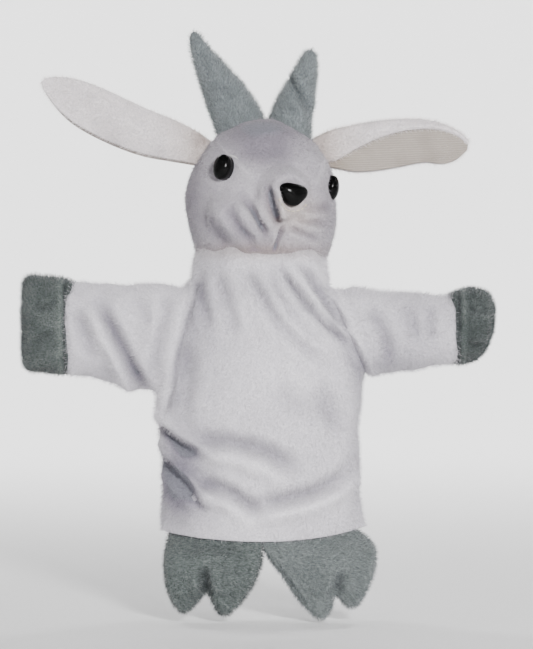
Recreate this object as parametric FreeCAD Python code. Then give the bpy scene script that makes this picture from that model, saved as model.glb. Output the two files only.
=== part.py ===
import FreeCAD
import Part
import math
import os
from FreeCAD import Vector

# Goat glove puppet in short pile plush, upright as it is worn on a hand.
# Millimetres. Origin at the centre of the hand opening, +Z up to the head,
# -Y to the front, +X to the puppet's own left.

os.makedirs("parts", exist_ok=True)

# Cloth and fill
PLUSH = 1.8                     # thickness of plush with its pile
KNIT = 1.0                      # thickness of the ribbed ear lining
TAPE = 0.5                      # thickness of the tape in the neck seam
GAP = 0.4                       # free space between parts that move past each other
ROUND_SLACK = 1e-5              # keeps an oval's long axis the longer one

# Body: a tube of two panels, joined at the side seams
HEM_Z = 0.0
SHOULDER_Z = 119.0
BODY_LEVELS = (                 # height, centre x, half width, half depth
    (-8.0, 0.5, 48.2, 21.0),
    (15.0, 0.2, 47.6, 21.2),
    (38.0, -1.0, 46.6, 21.5),
    (58.0, -1.3, 47.8, 21.5),
    (74.0, -0.8, 48.5, 21.0),
    (97.0, -0.5, 43.0, 20.0),
    (SHOULDER_Z, -0.5, 35.0, 18.0),
)

# Neck: a round zone of the body tube that the head's rim slides on
NECK = Vector(-0.5, 0, 131)     # the point that the head nods and turns about
NECK_R = 29.4
NECK_TOP = 142.0
TAPE_R = NECK_R + GAP
TAPE_HALF_WIDTH = 3.5
RIM_R = TAPE_R + TAPE + GAP     # inside of the head's rim

# Head: a round stuffed ball with a short muzzle, turned and tipped to its left
HEAD = Vector(-0.5, 0, 169)
HEAD_YAW = 22.0
HEAD_ROLL = 9.5
RIM_Z = 133.0
HEAD_PROFILE = (                # radius and height, from the rim to the crown
    (32.4, RIM_Z),
    (35.2, 148.0),
    (36.8, 161.0),
    (35.6, 174.0),
    (28.5, 188.0),
    (15.0, 198.5),
    (0.0, 202.0),
)
MUZZLE_AT = Vector(0, -25, -1)  # in the face's own frame, from the head's middle
MUZZLE_R = 16.5
CORE_R = 26.8                   # fill that reaches down into the neck
CORE_Z = 139.0
TUBE_R = 9.5                    # inside of the finger tube
TUBE_WALL = 1.2
TUBE_FROM = CORE_Z + 1.0
TUBE_LENGTH = 40.0

# Face
EYE_AT = Vector(30.3, -21.0, 4.6)
EYE_R = 6.0
EYE_DOME = 3.4
SHANK_R = 1.6
SHANK_LENGTH = 9.0
WASHER_R = 7.0
WASHER_THICK = 1.2
NOSE_AT = Vector(0, -41.0, -2.8)
NOSE_SIZE = (7.4, 4.2, 5.6)     # half width, height of the dome, half height

# Ears: one leaf pattern, plush outside and ribbed knit inside
EAR_LENGTH = 82.0
EAR_HALF = 11.4
EAR_PIVOTS = {"right": Vector(-37.2, -4, 187.0), "left": Vector(36.1, 6, 186.0)}
EAR_RISE = {"right": 20.5, "left": 4.5}
EAR_SWEEP = 12.0
EAR_REACH = {"right": 0.9, "left": 0.86}

# Horns: base middle, tip, half width and half depth at the base
HORNS = {
    "right": (Vector(-10.5, 0, 199.5), Vector(-31.0, 0, 242.5), 13.0, 8.5),
    "left": (Vector(13.0, 0, 198.0), Vector(23.4, 0, 233.8), 12.0, 8.5),
}
HORN_TIP = 2.6
HORN_LIFT = 3.2                 # room under the horn for its sway

# Arms: the sleeve's ball turns in the armhole
SHOULDER = {"right": Vector(-48, 0, 97), "left": Vector(48, 0, 97)}
SHOULDER_R = {"right": 24.0, "left": 22.6}
SLEEVE_OPEN = 14.0              # from the shoulder point inwards to the sleeve's open end
CUFF_X = 93.0
SLEEVE_END = {                  # middle height, half height, half depth at the cuff
    "right": (101.2, 22.6, 9.5),
    "left": (100.8, 16.8, 13.6),
}
HOOF_X = {"right": 115.2, "left": 111.3}
SLEEVE_ROOT_X = 60.0
ARM_DROP = 30.0                 # how far a sleeve can hang down, in degrees

# Feet: two padded cloven pads under the front of the hem
FOOT_HINGE_Y = -19.0
FOOT_TOP = -2.8
FOOT_OUTLINES = {               # x and z round the pad, from the inner top corner
    "left": (
        (1.2, FOOT_TOP), (20.0, -32.0), (28.9, -37.5), (34.8, -26.0),
        (45.0, -32.6), (53.0, -20.0), (53.0, -8.0), (50.0, FOOT_TOP),
    ),
    "right": (
        (-1.4, FOOT_TOP), (-3.4, -18.0), (-17.0, -36.4), (-25.8, -26.0),
        (-38.4, -35.0), (-45.2, -18.0), (-45.6, -8.0), (-44.0, FOOT_TOP),
    ),
}
FOOT_HALF = 4.4
FOOT_EDGE = 1.4

SIDES = ("right", "left")
OUT = {"right": -1, "left": 1}  # the way out from the body, along X


def oval(centre, reach_a, reach_b):
    """A closed elliptical wire with two perpendicular half axes."""
    if reach_b.Length > reach_a.Length:
        reach_a, reach_b = reach_b, reach_a
    reach_a = reach_a * (1 + ROUND_SLACK)
    ellipse = Part.Ellipse(centre + reach_a, centre + reach_b, centre)
    return Part.Wire([ellipse.toShape()])


def loft(wires):
    """A closed solid through a row of wires."""
    return Part.makeLoft(wires, True, False)


def ball(centre, radius):
    """A full sphere about a point."""
    return Part.makeSphere(radius, centre)


def slab(low, high):
    """A box between two corners."""
    size = high.sub(low)
    return Part.makeBox(size.x, size.y, size.z, low)


def biggest(shape):
    """The largest solid of a boolean's result, without its slivers."""
    return max(shape.Solids, key=lambda solid: solid.Volume)


def save(name, shape):
    """Write one sub-part and say how large it is."""
    shape.exportStep("parts/" + name + ".step")
    box = shape.optimalBoundingBox()
    print(
        f"{name:22s} valid {shape.isValid()} solids {len(shape.Solids)}"
        f" volume {shape.Volume:9.0f}"
        f" x {box.XMin:7.1f} {box.XMax:7.1f} y {box.YMin:6.1f} {box.YMax:6.1f}"
        f" z {box.ZMin:6.1f} {box.ZMax:6.1f}"
    )


def body_tube(inset):
    """The body's lofted tube, drawn in by inset, from below the hem to the shoulders."""
    wires = []
    for height, middle, half_width, half_depth in BODY_LEVELS:
        level = height - inset if height == SHOULDER_Z else height
        wires.append(
            oval(
                Vector(middle, 0, level),
                Vector(half_width - inset, 0, 0),
                Vector(0, half_depth - inset, 0),
            )
        )
    return loft(wires)


def make_body():
    """Front and back panels: the tube and the neck zone, open at hem, neck and armholes."""
    outer = body_tube(0).fuse(ball(NECK, NECK_R))
    inner = body_tube(PLUSH).fuse(ball(NECK, NECK_R - PLUSH))
    shell = outer.cut(inner)
    shell = shell.cut(slab(Vector(-60, -60, NECK_TOP), Vector(60, 60, NECK_TOP + 60)))
    shell = shell.cut(slab(Vector(-60, -60, HEM_Z - 40), Vector(60, 60, HEM_Z)))
    for side in SIDES:
        shell = shell.cut(ball(SHOULDER[side], SHOULDER_R[side] + GAP))
        lowered = sleeve_solid(side, -GAP, CUFF_X)
        lowered.rotate(SHOULDER[side], Vector(0, 1, 0), OUT[side] * ARM_DROP)
        shell = shell.cut(lowered)
    front = shell.common(slab(Vector(-80, -60, -10), Vector(80, 0, 200)))
    back = shell.common(slab(Vector(-80, 0, -10), Vector(80, 60, 200)))
    save("body_front", biggest(front))
    save("body_back", biggest(back))


def make_neck_tape():
    """The twill tape ring inside the neck seam."""
    ring = ball(NECK, TAPE_R + TAPE).cut(ball(NECK, TAPE_R))
    low = NECK - Vector(50, 50, TAPE_HALF_WIDTH)
    high = NECK + Vector(50, 50, TAPE_HALF_WIDTH)
    save("neck_tape", biggest(ring.common(slab(low, high))))


def face_placement():
    """From the face's own frame, nose along -Y, to the puppet's frame."""
    turn = FreeCAD.Rotation(Vector(0, 0, 1), HEAD_YAW)
    tip = FreeCAD.Rotation(Vector(0, 1, 0), HEAD_ROLL)
    return FreeCAD.Placement(HEAD, tip.multiply(turn))


FACE = face_placement()


def face_point(point):
    """A point of the face in the puppet's frame."""
    return FACE.multVec(point)


def in_face(shape):
    """Move a shape made in the face's own frame to its place."""
    shape = shape.copy()
    shape.Placement = FACE.multiply(shape.Placement)
    return shape


def head_solid(inset):
    """The whole head with its muzzle, drawn in by inset."""
    points = [Vector(radius - inset, 0, height) for radius, height in HEAD_PROFILE[:-1]]
    points.append(Vector(0, 0, HEAD_PROFILE[-1][1] - inset))
    curve = Part.BSplineCurve()
    curve.interpolate(
        points,
        InitialTangent=Vector(0.15, 0, 1),
        FinalTangent=Vector(-1, 0, 0),
    )
    low = RIM_Z if inset == 0 else RIM_Z - 4
    foot = Vector(0, 0, low)
    edges = [curve.toShape()]
    if inset > 0:
        edges.append(Part.makeLine(Vector(points[0].x, 0, low), points[0]))
    edges.append(Part.makeLine(points[-1], foot))
    edges.append(Part.makeLine(foot, Vector(points[0].x, 0, low)))
    face = Part.Face(Part.Wire(Part.__sortEdges__(edges)))
    barrel = face.revolve(Vector(0, 0, 0), Vector(0, 0, 1), 360)
    barrel = Part.Solid(barrel) if barrel.ShapeType != "Solid" else barrel
    barrel.translate(Vector(HEAD.x, HEAD.y, 0))
    return barrel.fuse(ball(face_point(MUZZLE_AT), MUZZLE_R - inset))


def eye_frame(sign):
    """Centre of the eye's back on the skin, and the way it looks out."""
    at = face_point(Vector(sign * EYE_AT.x, EYE_AT.y, EYE_AT.z))
    away = at - Vector(HEAD.x, HEAD.y, at.z)
    out = Vector(away.x, away.y, 0.16 * away.Length).normalize()
    return at - out * EYE_DOME, out


def dome_with_shank(centre, out, radius, dome):
    """A safety eye: a low dome with a round edge on a straight shank."""
    outline = [
        Vector(0, 0, dome),
        Vector(radius * 0.72, 0, dome * 0.68),
        Vector(radius, 0, 0.3),
    ]
    arc = Part.Arc(*outline).toShape()
    edges = [
        arc,
        Part.makeLine(outline[2], Vector(radius, 0, -0.6)),
        Part.makeLine(Vector(radius, 0, -0.6), Vector(SHANK_R, 0, -0.6)),
        Part.makeLine(Vector(SHANK_R, 0, -0.6), Vector(SHANK_R, 0, -SHANK_LENGTH)),
        Part.makeLine(Vector(SHANK_R, 0, -SHANK_LENGTH), Vector(0, 0, -SHANK_LENGTH)),
        Part.makeLine(Vector(0, 0, -SHANK_LENGTH), outline[0]),
    ]
    button = Part.Face(Part.Wire(edges)).revolve(Vector(0, 0, 0), Vector(0, 0, 1), 360)
    button.Placement = FreeCAD.Placement(centre, FreeCAD.Rotation(Vector(0, 0, 1), out))
    return button


def washer(centre, out, depth):
    """The lock washer pressed on the shank inside the head."""
    at = centre - out * depth
    disc = Part.makeCylinder(WASHER_R, WASHER_THICK, at, out)
    return disc.cut(Part.makeCylinder(SHANK_R + 0.05, 10, at - out * 3, out))


def make_head():
    """Skin panels, fill, finger tube, eyes, nose and chin stitches."""
    outer = head_solid(0)
    inner = head_solid(PLUSH)
    socket = ball(NECK, RIM_R)
    skin = outer.cut(inner).cut(socket)

    fittings = []
    for side, sign in (("right", -1), ("left", 1)):
        centre, out = eye_frame(sign)
        eye = dome_with_shank(centre, out, EYE_R, EYE_DOME)
        ring = washer(centre, out, 5.0)
        pocket = Part.makeCylinder(WASHER_R + 0.3, 8.0, centre - out * 9.4, out)
        fittings.append((eye, pocket))
        save("eye_" + side, eye)
        save("eye_washer_" + side, ring)

    centre = face_point(NOSE_AT)
    out = (face_point(NOSE_AT + Vector(0, -1, 0)) - centre).normalize()
    squash = FreeCAD.Matrix()
    squash.scale(Vector(NOSE_SIZE[0], NOSE_SIZE[1], NOSE_SIZE[2]))
    bead = Part.makeSphere(1.0).transformGeometry(squash)
    bead = bead.common(slab(Vector(-20, -20, -20), Vector(20, 0.6, 20)))
    bead.translate(NOSE_AT)
    shank = Part.makeCylinder(SHANK_R, SHANK_LENGTH, NOSE_AT, Vector(0, 1, 0))
    nose = in_face(bead.fuse(shank))
    pocket = Part.makeCylinder(WASHER_R + 0.3, 8.0, centre - out * 9.6, out)
    fittings.append((nose, pocket))
    save("nose", biggest(nose))
    save("nose_washer", washer(centre, out, 5.4))

    for fitting, pocket in fittings:
        skin = skin.cut(fitting)

    plan = [
        Vector(-5.5, -60, 0), Vector(5.5, -60, 0), Vector(6.5, -40, 0), Vector(22, -6, 0),
        Vector(20, 18, 0), Vector(9, 60, 0), Vector(-9, 60, 0), Vector(-20, 18, 0),
        Vector(-22, -6, 0), Vector(-6.5, -40, 0), Vector(-5.5, -60, 0),
    ]
    strip = Part.Face(Part.makePolygon(plan)).extrude(Vector(0, 0, 120))
    strip.translate(Vector(0, 0, -60))
    under = Part.makeBox(160, 160, 90, Vector(-80, -80, -90))
    under.rotate(Vector(0, 0, 0), Vector(1, 0, 0), -26)
    under.translate(Vector(0, -42, -4))
    strip = in_face(strip.cut(under))
    save("head_gusset", biggest(skin.common(strip)))
    rest = skin.cut(strip)
    halves = {
        "right": in_face(slab(Vector(-80, -80, -80), Vector(0, 80, 80))),
        "left": in_face(slab(Vector(0, -80, -80), Vector(80, 80, 80))),
    }
    for side in SIDES:
        save("head_side_" + side, biggest(rest.common(halves[side])))

    axis = Vector(NECK.x, NECK.y, 0)
    tube_foot = axis + Vector(0, 0, TUBE_FROM)
    tube_outer = Part.makeCylinder(TUBE_R + TUBE_WALL, TUBE_LENGTH + TUBE_WALL, tube_foot)
    tube = tube_outer.cut(Part.makeCylinder(TUBE_R, TUBE_LENGTH, axis + Vector(0, 0, TUBE_FROM)))
    save("finger_tube", tube)

    spread = 45.0
    cone = Part.makeCone(0, spread * math.tan(math.radians(36)), spread, NECK)
    groove = ball(NECK, RIM_R + 0.2).cut(ball(NECK, CORE_R)).cut(cone)
    fill = inner.cut(groove)
    fill = fill.cut(slab(Vector(-60, -60, 100), Vector(60, 60, CORE_Z)))
    fill = fill.cut(tube_outer)
    fill = fill.cut(Part.makeCylinder(TUBE_R + TUBE_WALL, 5, axis + Vector(0, 0, CORE_Z - 2)))
    for fitting, pocket in fittings:
        fill = fill.cut(fitting).cut(pocket)
    save("head_stuffing", biggest(fill))

    make_chin_stitches()


def make_chin_stitches():
    """Short thread stitches in an arc under the nose, lying on the muzzle."""
    thread = 0.4
    stitches = []
    middle = face_point(MUZZLE_AT)
    for step in range(5):
        angle = math.radians(-32 + 16 * step)
        down = 0.75
        way = Vector(math.sin(angle) * 0.42, -1, -down * math.cos(angle))
        way = FACE.Rotation.multVec(way.normalize())
        side = FACE.Rotation.multVec(Vector(math.cos(angle), 0, math.sin(angle)))
        side = (side - way * side.dot(way)).normalize()
        at = middle + way * (MUZZLE_R + thread + 0.15) - side * 1.3
        stitches.append(Part.makeCylinder(thread, 2.6, at, side))
    save("chin_stitches", Part.makeCompound(stitches))


def ear_outline(length, half):
    """The leaf pattern in the XZ plane, base at the origin, tip along +X."""
    base = 5.0
    points = [
        Vector(-base, 0, 0),
        Vector(0, 0, base),
        Vector(0.28 * length, 0, 0.86 * half),
        Vector(0.55 * length, 0, half),
        Vector(0.85 * length, 0, 0.80 * half),
        Vector(length, 0, 0.30 * half),
        Vector(0.90 * length, 0, -0.62 * half),
        Vector(0.62 * length, 0, -half),
        Vector(0.28 * length, 0, -0.80 * half),
        Vector(0, 0, -base),
    ]
    curve = Part.BSplineCurve()
    curve.interpolate(points, PeriodicFlag=True)
    return Part.Face(Part.Wire([curve.toShape()]))


def make_ears():
    """Two leaves each: plush outside and ribbed knit inside, flat against each other."""
    for side in SIDES:
        face = ear_outline(EAR_LENGTH * EAR_REACH[side], EAR_HALF)
        front = face.copy()
        behind = face.copy()
        plush_in_front = side == "right"
        first, second = (PLUSH, KNIT) if plush_in_front else (KNIT, PLUSH)
        front.translate(Vector(0, -first, 0))
        layers = (
            front.extrude(Vector(0, first, 0)),
            behind.extrude(Vector(0, second, 0)),
        )
        names = ("outer", "lining") if plush_in_front else ("lining", "outer")
        for name, layer in zip(names, layers):
            layer.rotate(Vector(0, 0, 0), Vector(0, 1, 0), -EAR_RISE[side])
            if side == "right":
                layer = layer.mirror(Vector(0, 0, 0), Vector(1, 0, 0))
            layer.rotate(Vector(0, 0, 0), Vector(0, 0, 1), EAR_SWEEP)
            layer.translate(EAR_PIVOTS[side])
            save("ear_" + side + "_" + name, layer)


def horn_solid(side, inset):
    """A flattened cone from the crown to a blunt tip, drawn in by inset."""
    base, tip, half_width, half_depth = HORNS[side]
    along = (tip - base).normalize()
    across = Vector(0, 1, 0).cross(along).normalize()
    start = base - along * 14 if inset == 0 else base - along * 12
    length = (tip - base).Length
    wires = []
    for share in (0.0, 0.35, 0.7, 1.0):
        at = base + along * (length * share - (inset if share == 1.0 else 0))
        wide = half_width + (HORN_TIP - half_width) * share ** 0.9 - inset
        deep = half_depth + (HORN_TIP - half_depth) * share ** 0.9 - inset
        wires.append(oval(at, across * max(wide, 0.8), Vector(0, max(deep, 0.7), 0)))
    wires.insert(0, oval(start, across * (half_width + 2.5 - inset), Vector(0, half_depth + 2 - inset, 0)))
    return loft(wires)


def make_horns():
    """Plush cones with their fill, held just clear of the crown."""
    crown = ball(Vector(HEAD.x, 0, HEAD.z - 3.2), 36.4 + HORN_LIFT)
    for side in SIDES:
        outer = horn_solid(side, 0)
        inner = horn_solid(side, PLUSH)
        shell = outer.cut(inner).cut(crown)
        save("horn_" + side + "_shell", biggest(shell))
        save("horn_" + side + "_stuffing", biggest(inner.cut(crown)))


def sleeve_solid(side, inset, end_x):
    """The sleeve's ball and its tapering tube out to a given x."""
    sign = OUT[side]
    shoulder = SHOULDER[side]
    radius = SHOULDER_R[side]
    middle, half_height, half_depth = SLEEVE_END[side]
    root = Vector(sign * (SLEEVE_ROOT_X - 8), 0, shoulder.z)
    wires = [
        oval(root, Vector(0, 0, radius - 2.0 - inset), Vector(0, radius - 2.6 - inset, 0)),
        oval(
            Vector(sign * (SLEEVE_ROOT_X + 14), 0, (shoulder.z + middle) / 2),
            Vector(0, 0, (radius + half_height) / 2 - inset),
            Vector(0, (radius * 0.8 + half_depth) / 2 - inset, 0),
        ),
        oval(
            Vector(sign * end_x, 0, middle),
            Vector(0, 0, half_height - inset),
            Vector(0, half_depth - inset, 0),
        ),
    ]
    return loft(wires).fuse(ball(shoulder, radius - inset))


def hoof_pin(side, radius):
    """The upright round zone at the cuff seam that the hoof bends about."""
    middle = SLEEVE_END[side][0]
    return Part.makeCylinder(radius, 80, Vector(OUT[side] * CUFF_X, 0, middle - 40))


def hoof_solid(side, inset):
    """The closed mitt beyond the cuff seam, with its root inside the seam."""
    sign = OUT[side]
    middle, half_height, half_depth = SLEEVE_END[side]
    tip = HOOF_X[side]
    rows = (
        (CUFF_X - half_depth - 4, 0.0),
        (CUFF_X, 0.0),
        ((CUFF_X + tip) / 2, 0.6),
        (tip - 4.0, -0.6),
        (tip, -4.6),
    )
    wires = []
    for across, grow in rows:
        at = across - (inset if across > CUFF_X + 12 else 0)
        wires.append(
            oval(
                Vector(sign * at, 0, middle),
                Vector(0, 0, half_height + grow - inset),
                Vector(0, max(half_depth + grow - inset, 2.0), 0),
            )
        )
    return loft(wires)


def make_arms():
    """Sleeves, open into the body, and the hoof mitts, open into the sleeves."""
    for side in SIDES:
        sign = OUT[side]
        half_depth = SLEEVE_END[side][2]
        pin_r = half_depth + 1.2
        shell = sleeve_solid(side, 0, CUFF_X).cut(sleeve_solid(side, PLUSH, CUFF_X + 3))
        shoulder = SHOULDER[side]
        inward = sign * (abs(shoulder.x) - SLEEVE_OPEN)
        near = min(inward, -sign * 10)
        far = max(inward, -sign * 10)
        shell = shell.cut(slab(Vector(near, -40, 50), Vector(far, 40, 150)))
        shell = shell.cut(hoof_pin(side, pin_r + GAP))
        save("sleeve_" + side, biggest(shell))

        mitt = hoof_solid(side, 0).cut(hoof_solid(side, PLUSH))
        beyond = slab(
            Vector(min(sign * CUFF_X, sign * 130), -40, 50),
            Vector(max(sign * CUFF_X, sign * 130), 40, 150),
        )
        mitt = mitt.common(hoof_pin(side, pin_r).fuse(beyond))
        save("hoof_" + side, biggest(mitt))


def foot_pad(side, scale):
    """The pad's outline as a prism across the depth, shrunk about its middle."""
    outline = FOOT_OUTLINES[side]
    middle_x = sum(x for x, z in outline) / len(outline)
    middle_z = sum(z for x, z in outline) / len(outline)
    points = [
        Vector(middle_x + (x - middle_x) * scale, -60, middle_z + (z - middle_z) * scale)
        for x, z in outline
    ]
    rounded = Part.BSplineCurve()
    rounded.interpolate(points)
    edges = [rounded.toShape(), Part.makeLine(points[-1], points[0])]
    return Part.Face(Part.Wire(edges)).extrude(Vector(0, 120, 0))


def foot_side_view(inset):
    """The pad seen from the side: a thin top edge that swells to full thickness."""
    top = FOOT_TOP - inset
    half = FOOT_HALF - inset
    edge = max(FOOT_EDGE - inset, 0.3)
    rows = ((edge, top), (half, top - 9), (half, -34), (half - 1.6, -44))
    points = [Vector(-70, FOOT_HINGE_Y - y, z) for y, z in rows]
    points += [Vector(-70, FOOT_HINGE_Y + y, z) for y, z in reversed(rows)]
    points.append(points[0])
    return Part.Face(Part.makePolygon(points)).extrude(Vector(140, 0, 0))


def make_feet():
    """Front and back pads with the fill between them."""
    for side in SIDES:
        whole = foot_pad(side, 1.0).common(foot_side_view(0))
        fill = foot_pad(side, 0.88).common(foot_side_view(PLUSH))
        cover = whole.cut(fill)
        front = cover.common(slab(Vector(-80, -60, -60), Vector(80, FOOT_HINGE_Y, 20)))
        back = cover.common(slab(Vector(-80, FOOT_HINGE_Y, -60), Vector(80, 60, 20)))
        save("foot_" + side + "_front", biggest(front))
        save("foot_" + side + "_back", biggest(back))
        save("foot_" + side + "_stuffing", biggest(fill))


make_body()
make_neck_tape()
make_head()
make_ears()
make_horns()
make_arms()
make_feet()
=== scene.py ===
# %% [markdown]
# # A goat glove puppet in short pile plush
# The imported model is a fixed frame: rigid shells that say where every piece is and how it
# moves. This script dresses it in cloth. The body, sleeves and head of the real puppet are
# sewn from white plush, the horns, hooves and feet from grey plush, and the ears are lined
# with a fine cream knit. Everything is in metres in the frame's own axes: the puppet looks
# along -Y and its own left hand is towards +X.

# %% Load the frame
import math
from contextlib import contextmanager
import bmesh
import bpy
import numpy as np
from mathutils import Matrix, Vector, noise
from mathutils.bvhtree import BVHTree


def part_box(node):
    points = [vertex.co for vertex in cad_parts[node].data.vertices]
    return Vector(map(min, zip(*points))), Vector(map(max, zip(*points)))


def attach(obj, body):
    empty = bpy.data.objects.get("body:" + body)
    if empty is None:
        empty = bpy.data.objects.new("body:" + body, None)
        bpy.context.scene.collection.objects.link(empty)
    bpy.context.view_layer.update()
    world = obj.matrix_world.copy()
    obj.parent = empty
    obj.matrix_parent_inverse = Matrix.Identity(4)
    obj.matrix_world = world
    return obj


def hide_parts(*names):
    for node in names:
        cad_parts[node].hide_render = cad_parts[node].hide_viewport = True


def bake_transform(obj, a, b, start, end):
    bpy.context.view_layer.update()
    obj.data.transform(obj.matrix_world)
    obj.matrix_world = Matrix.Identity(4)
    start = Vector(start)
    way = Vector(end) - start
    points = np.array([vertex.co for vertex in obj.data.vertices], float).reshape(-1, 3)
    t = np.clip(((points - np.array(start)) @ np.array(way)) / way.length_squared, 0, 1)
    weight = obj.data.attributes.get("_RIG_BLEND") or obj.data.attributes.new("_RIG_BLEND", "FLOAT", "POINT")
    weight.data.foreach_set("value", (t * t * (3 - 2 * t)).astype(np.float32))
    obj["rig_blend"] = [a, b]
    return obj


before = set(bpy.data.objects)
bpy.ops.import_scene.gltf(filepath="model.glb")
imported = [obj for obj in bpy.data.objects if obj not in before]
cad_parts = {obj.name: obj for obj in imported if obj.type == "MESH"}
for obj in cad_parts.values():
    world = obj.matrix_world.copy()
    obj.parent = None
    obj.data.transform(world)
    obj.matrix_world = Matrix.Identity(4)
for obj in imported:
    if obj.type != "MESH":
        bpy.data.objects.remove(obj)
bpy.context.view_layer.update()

MM = 0.001

# %% [markdown]
# ## Helpers
# Shapes are worked out in millimetres as arrays of points, because a pattern maker thinks in
# millimetres, and they become metres when the mesh is made.

# %% Mesh helpers
def link_object(name, data):
    """A scene object that shows a mesh, a lamp or a camera."""
    made = bpy.data.objects.new(name, data)
    bpy.context.scene.collection.objects.link(made)
    return made


def new_object(name, points, faces, edges=()):
    """A mesh object from points in millimetres."""
    mesh = bpy.data.meshes.new(name)
    mesh.from_pydata([tuple(p) for p in np.asarray(points) * MM], edges, faces)
    mesh.update()
    return link_object(name, mesh)


def read_rows(items, field):
    """A mesh's vectors as rows of three numbers."""
    flat = np.empty(len(items) * 3)
    items.foreach_get(field, flat)
    return flat.reshape(-1, 3)


def get_points(piece):
    """A piece's points in millimetres."""
    return read_rows(piece.data.vertices, "co") / MM


def set_points(piece, points):
    """Put points in millimetres back into the mesh."""
    piece.data.vertices.foreach_set("co", (points * MM).ravel())
    piece.data.update()


def get_normals(piece):
    """Each point's outward direction."""
    return read_rows(piece.data.vertex_normals, "vector")


def smooth_shading(piece):
    """Shade a piece as one smooth surface."""
    piece.data.polygons.foreach_set("use_smooth", [True] * len(piece.data.polygons))
    piece.data.update()


@contextmanager
def editing(piece):
    """A piece's mesh opened for editing and written back at the end."""
    work = bmesh.new()
    work.from_mesh(piece.data)
    yield work
    work.to_mesh(piece.data)
    work.free()
    piece.data.update()


def outward(piece):
    """Merge doubles and turn every face outwards."""
    with editing(piece) as work:
        bmesh.ops.remove_doubles(work, verts=work.verts, dist=1e-6)
        bmesh.ops.recalc_face_normals(work, faces=work.faces)
    return piece


def score(work, at, direction, **settings):
    """Cut a mesh that is being edited with a plane in millimetres."""
    geometry = work.verts[:] + work.edges[:] + work.faces[:]
    place = Vector(at) * MM
    bmesh.ops.bisect_plane(
        work, geom=geometry, dist=1e-7, plane_co=place, plane_no=Vector(direction), **settings
    )


def cut_away(piece, at, direction):
    """Cut a piece with a plane and keep what is behind the plane's direction."""
    with editing(piece) as work:
        score(work, at, direction, clear_outer=True)


def keep_faces(piece, planes, wanted):
    """Score a piece along planes, then keep the faces whose middle is wanted."""
    with editing(piece) as work:
        for at, direction in planes:
            score(work, at, direction)
        unwanted = [f for f in work.faces if not wanted(np.array(f.calc_center_median()) / MM)]
        bmesh.ops.delete(work, geom=unwanted, context="FACES")


def ring_faces(rows, around):
    """Four cornered faces between rows of points that each go round once."""
    faces = []
    for low in range(0, (rows - 1) * around, around):
        high = low + around
        for k in range(around):
            n = (k + 1) % around
            faces.append((low + k, low + n, high + n, high + k))
    return faces


def closed_ends(rows, around):
    """The two flat faces that close rows of points."""
    last = (rows - 1) * around
    return [tuple(range(around)), tuple(last + k for k in reversed(range(around)))]


def rounded(across, up, square, around):
    """A superellipse outline: square 2 is an ellipse, and more is boxier."""
    angle = np.linspace(0, 2 * math.pi, around, endpoint=False)
    c, s = np.cos(angle), np.sin(angle)
    power = 2.0 / square
    return np.sign(c) * np.abs(c) ** power * across, np.sign(s) * np.abs(s) ** power * up


def tube(name, rings, around):
    """A closed tube through rings of (centre, side, up, square)."""
    points = []
    for centre, side, up, square in rings:
        c, s = rounded(1, 1, square, around)
        points.append(np.array(centre) + np.outer(c, side) + np.outer(s, up))
    faces = ring_faces(len(rings), around) + closed_ends(len(rings), around)
    return outward(new_object(name, np.vstack(points), faces))


def socket_name(tree, name):
    """The identifier of a node tree's named input."""
    return next(s.identifier for s in tree.interface.items_tree if s.name == name and s.in_out == "INPUT")


def modify(piece, kind, inputs=None, **settings):
    """Give a piece one modifier and apply it. Inputs are a node tree's own, by name."""
    modifier = piece.modifiers.new(kind.lower(), kind)
    for name, value in settings.items():
        setattr(modifier, name, value)
    for name, value in (inputs or {}).items():
        modifier[socket_name(modifier.node_group, name)] = value
    depsgraph = bpy.context.evaluated_depsgraph_get()
    mesh = bpy.data.meshes.new_from_object(piece.evaluated_get(depsgraph), depsgraph=depsgraph)
    old = piece.data
    piece.modifiers.clear()
    piece.data = mesh
    mesh.name = piece.name
    bpy.data.meshes.remove(old)
    return piece


def melt(piece, voxel, rounds):
    """Melt closed shapes into one skin of even quads, then relax it as sewn cloth rounds off."""
    modify(piece, "REMESH", mode="VOXEL", voxel_size=voxel * MM)
    modify(piece, "SMOOTH", factor=0.5, iterations=rounds)


def subdivide(piece):
    """One level of subdivision, applied."""
    modify(piece, "SUBSURF", levels=1, render_levels=1)


def join(name, *pieces):
    """Join closed shapes into one mesh object."""
    points, faces, start = [], [], 0
    for piece in pieces:
        p = get_points(piece)
        points.append(p)
        faces += [tuple(start + v for v in f.vertices) for f in piece.data.polygons]
        start += len(p)
        bpy.data.objects.remove(piece)
    return new_object(name, np.vstack(points), faces)


def copy_of(piece, name):
    """A second piece with the same mesh."""
    twin = piece.copy()
    twin.data = piece.data.copy()
    twin.name = name
    twin.data.name = name
    bpy.context.scene.collection.objects.link(twin)
    return twin


def ease(share):
    """A share from 0 to 1 with soft ends."""
    return share * share * (3 - 2 * share)


# %% Puffing
CLOTH = {
    "quality": 5, "mass": 0.15, "tension_stiffness": 12, "compression_stiffness": 12,
    "shear_stiffness": 5, "bending_stiffness": 0.4, "use_pressure": True,
    "uniform_pressure_force": 4, "vertex_group_mass": "held",
}
CLOTH_FRAMES = 20


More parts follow.
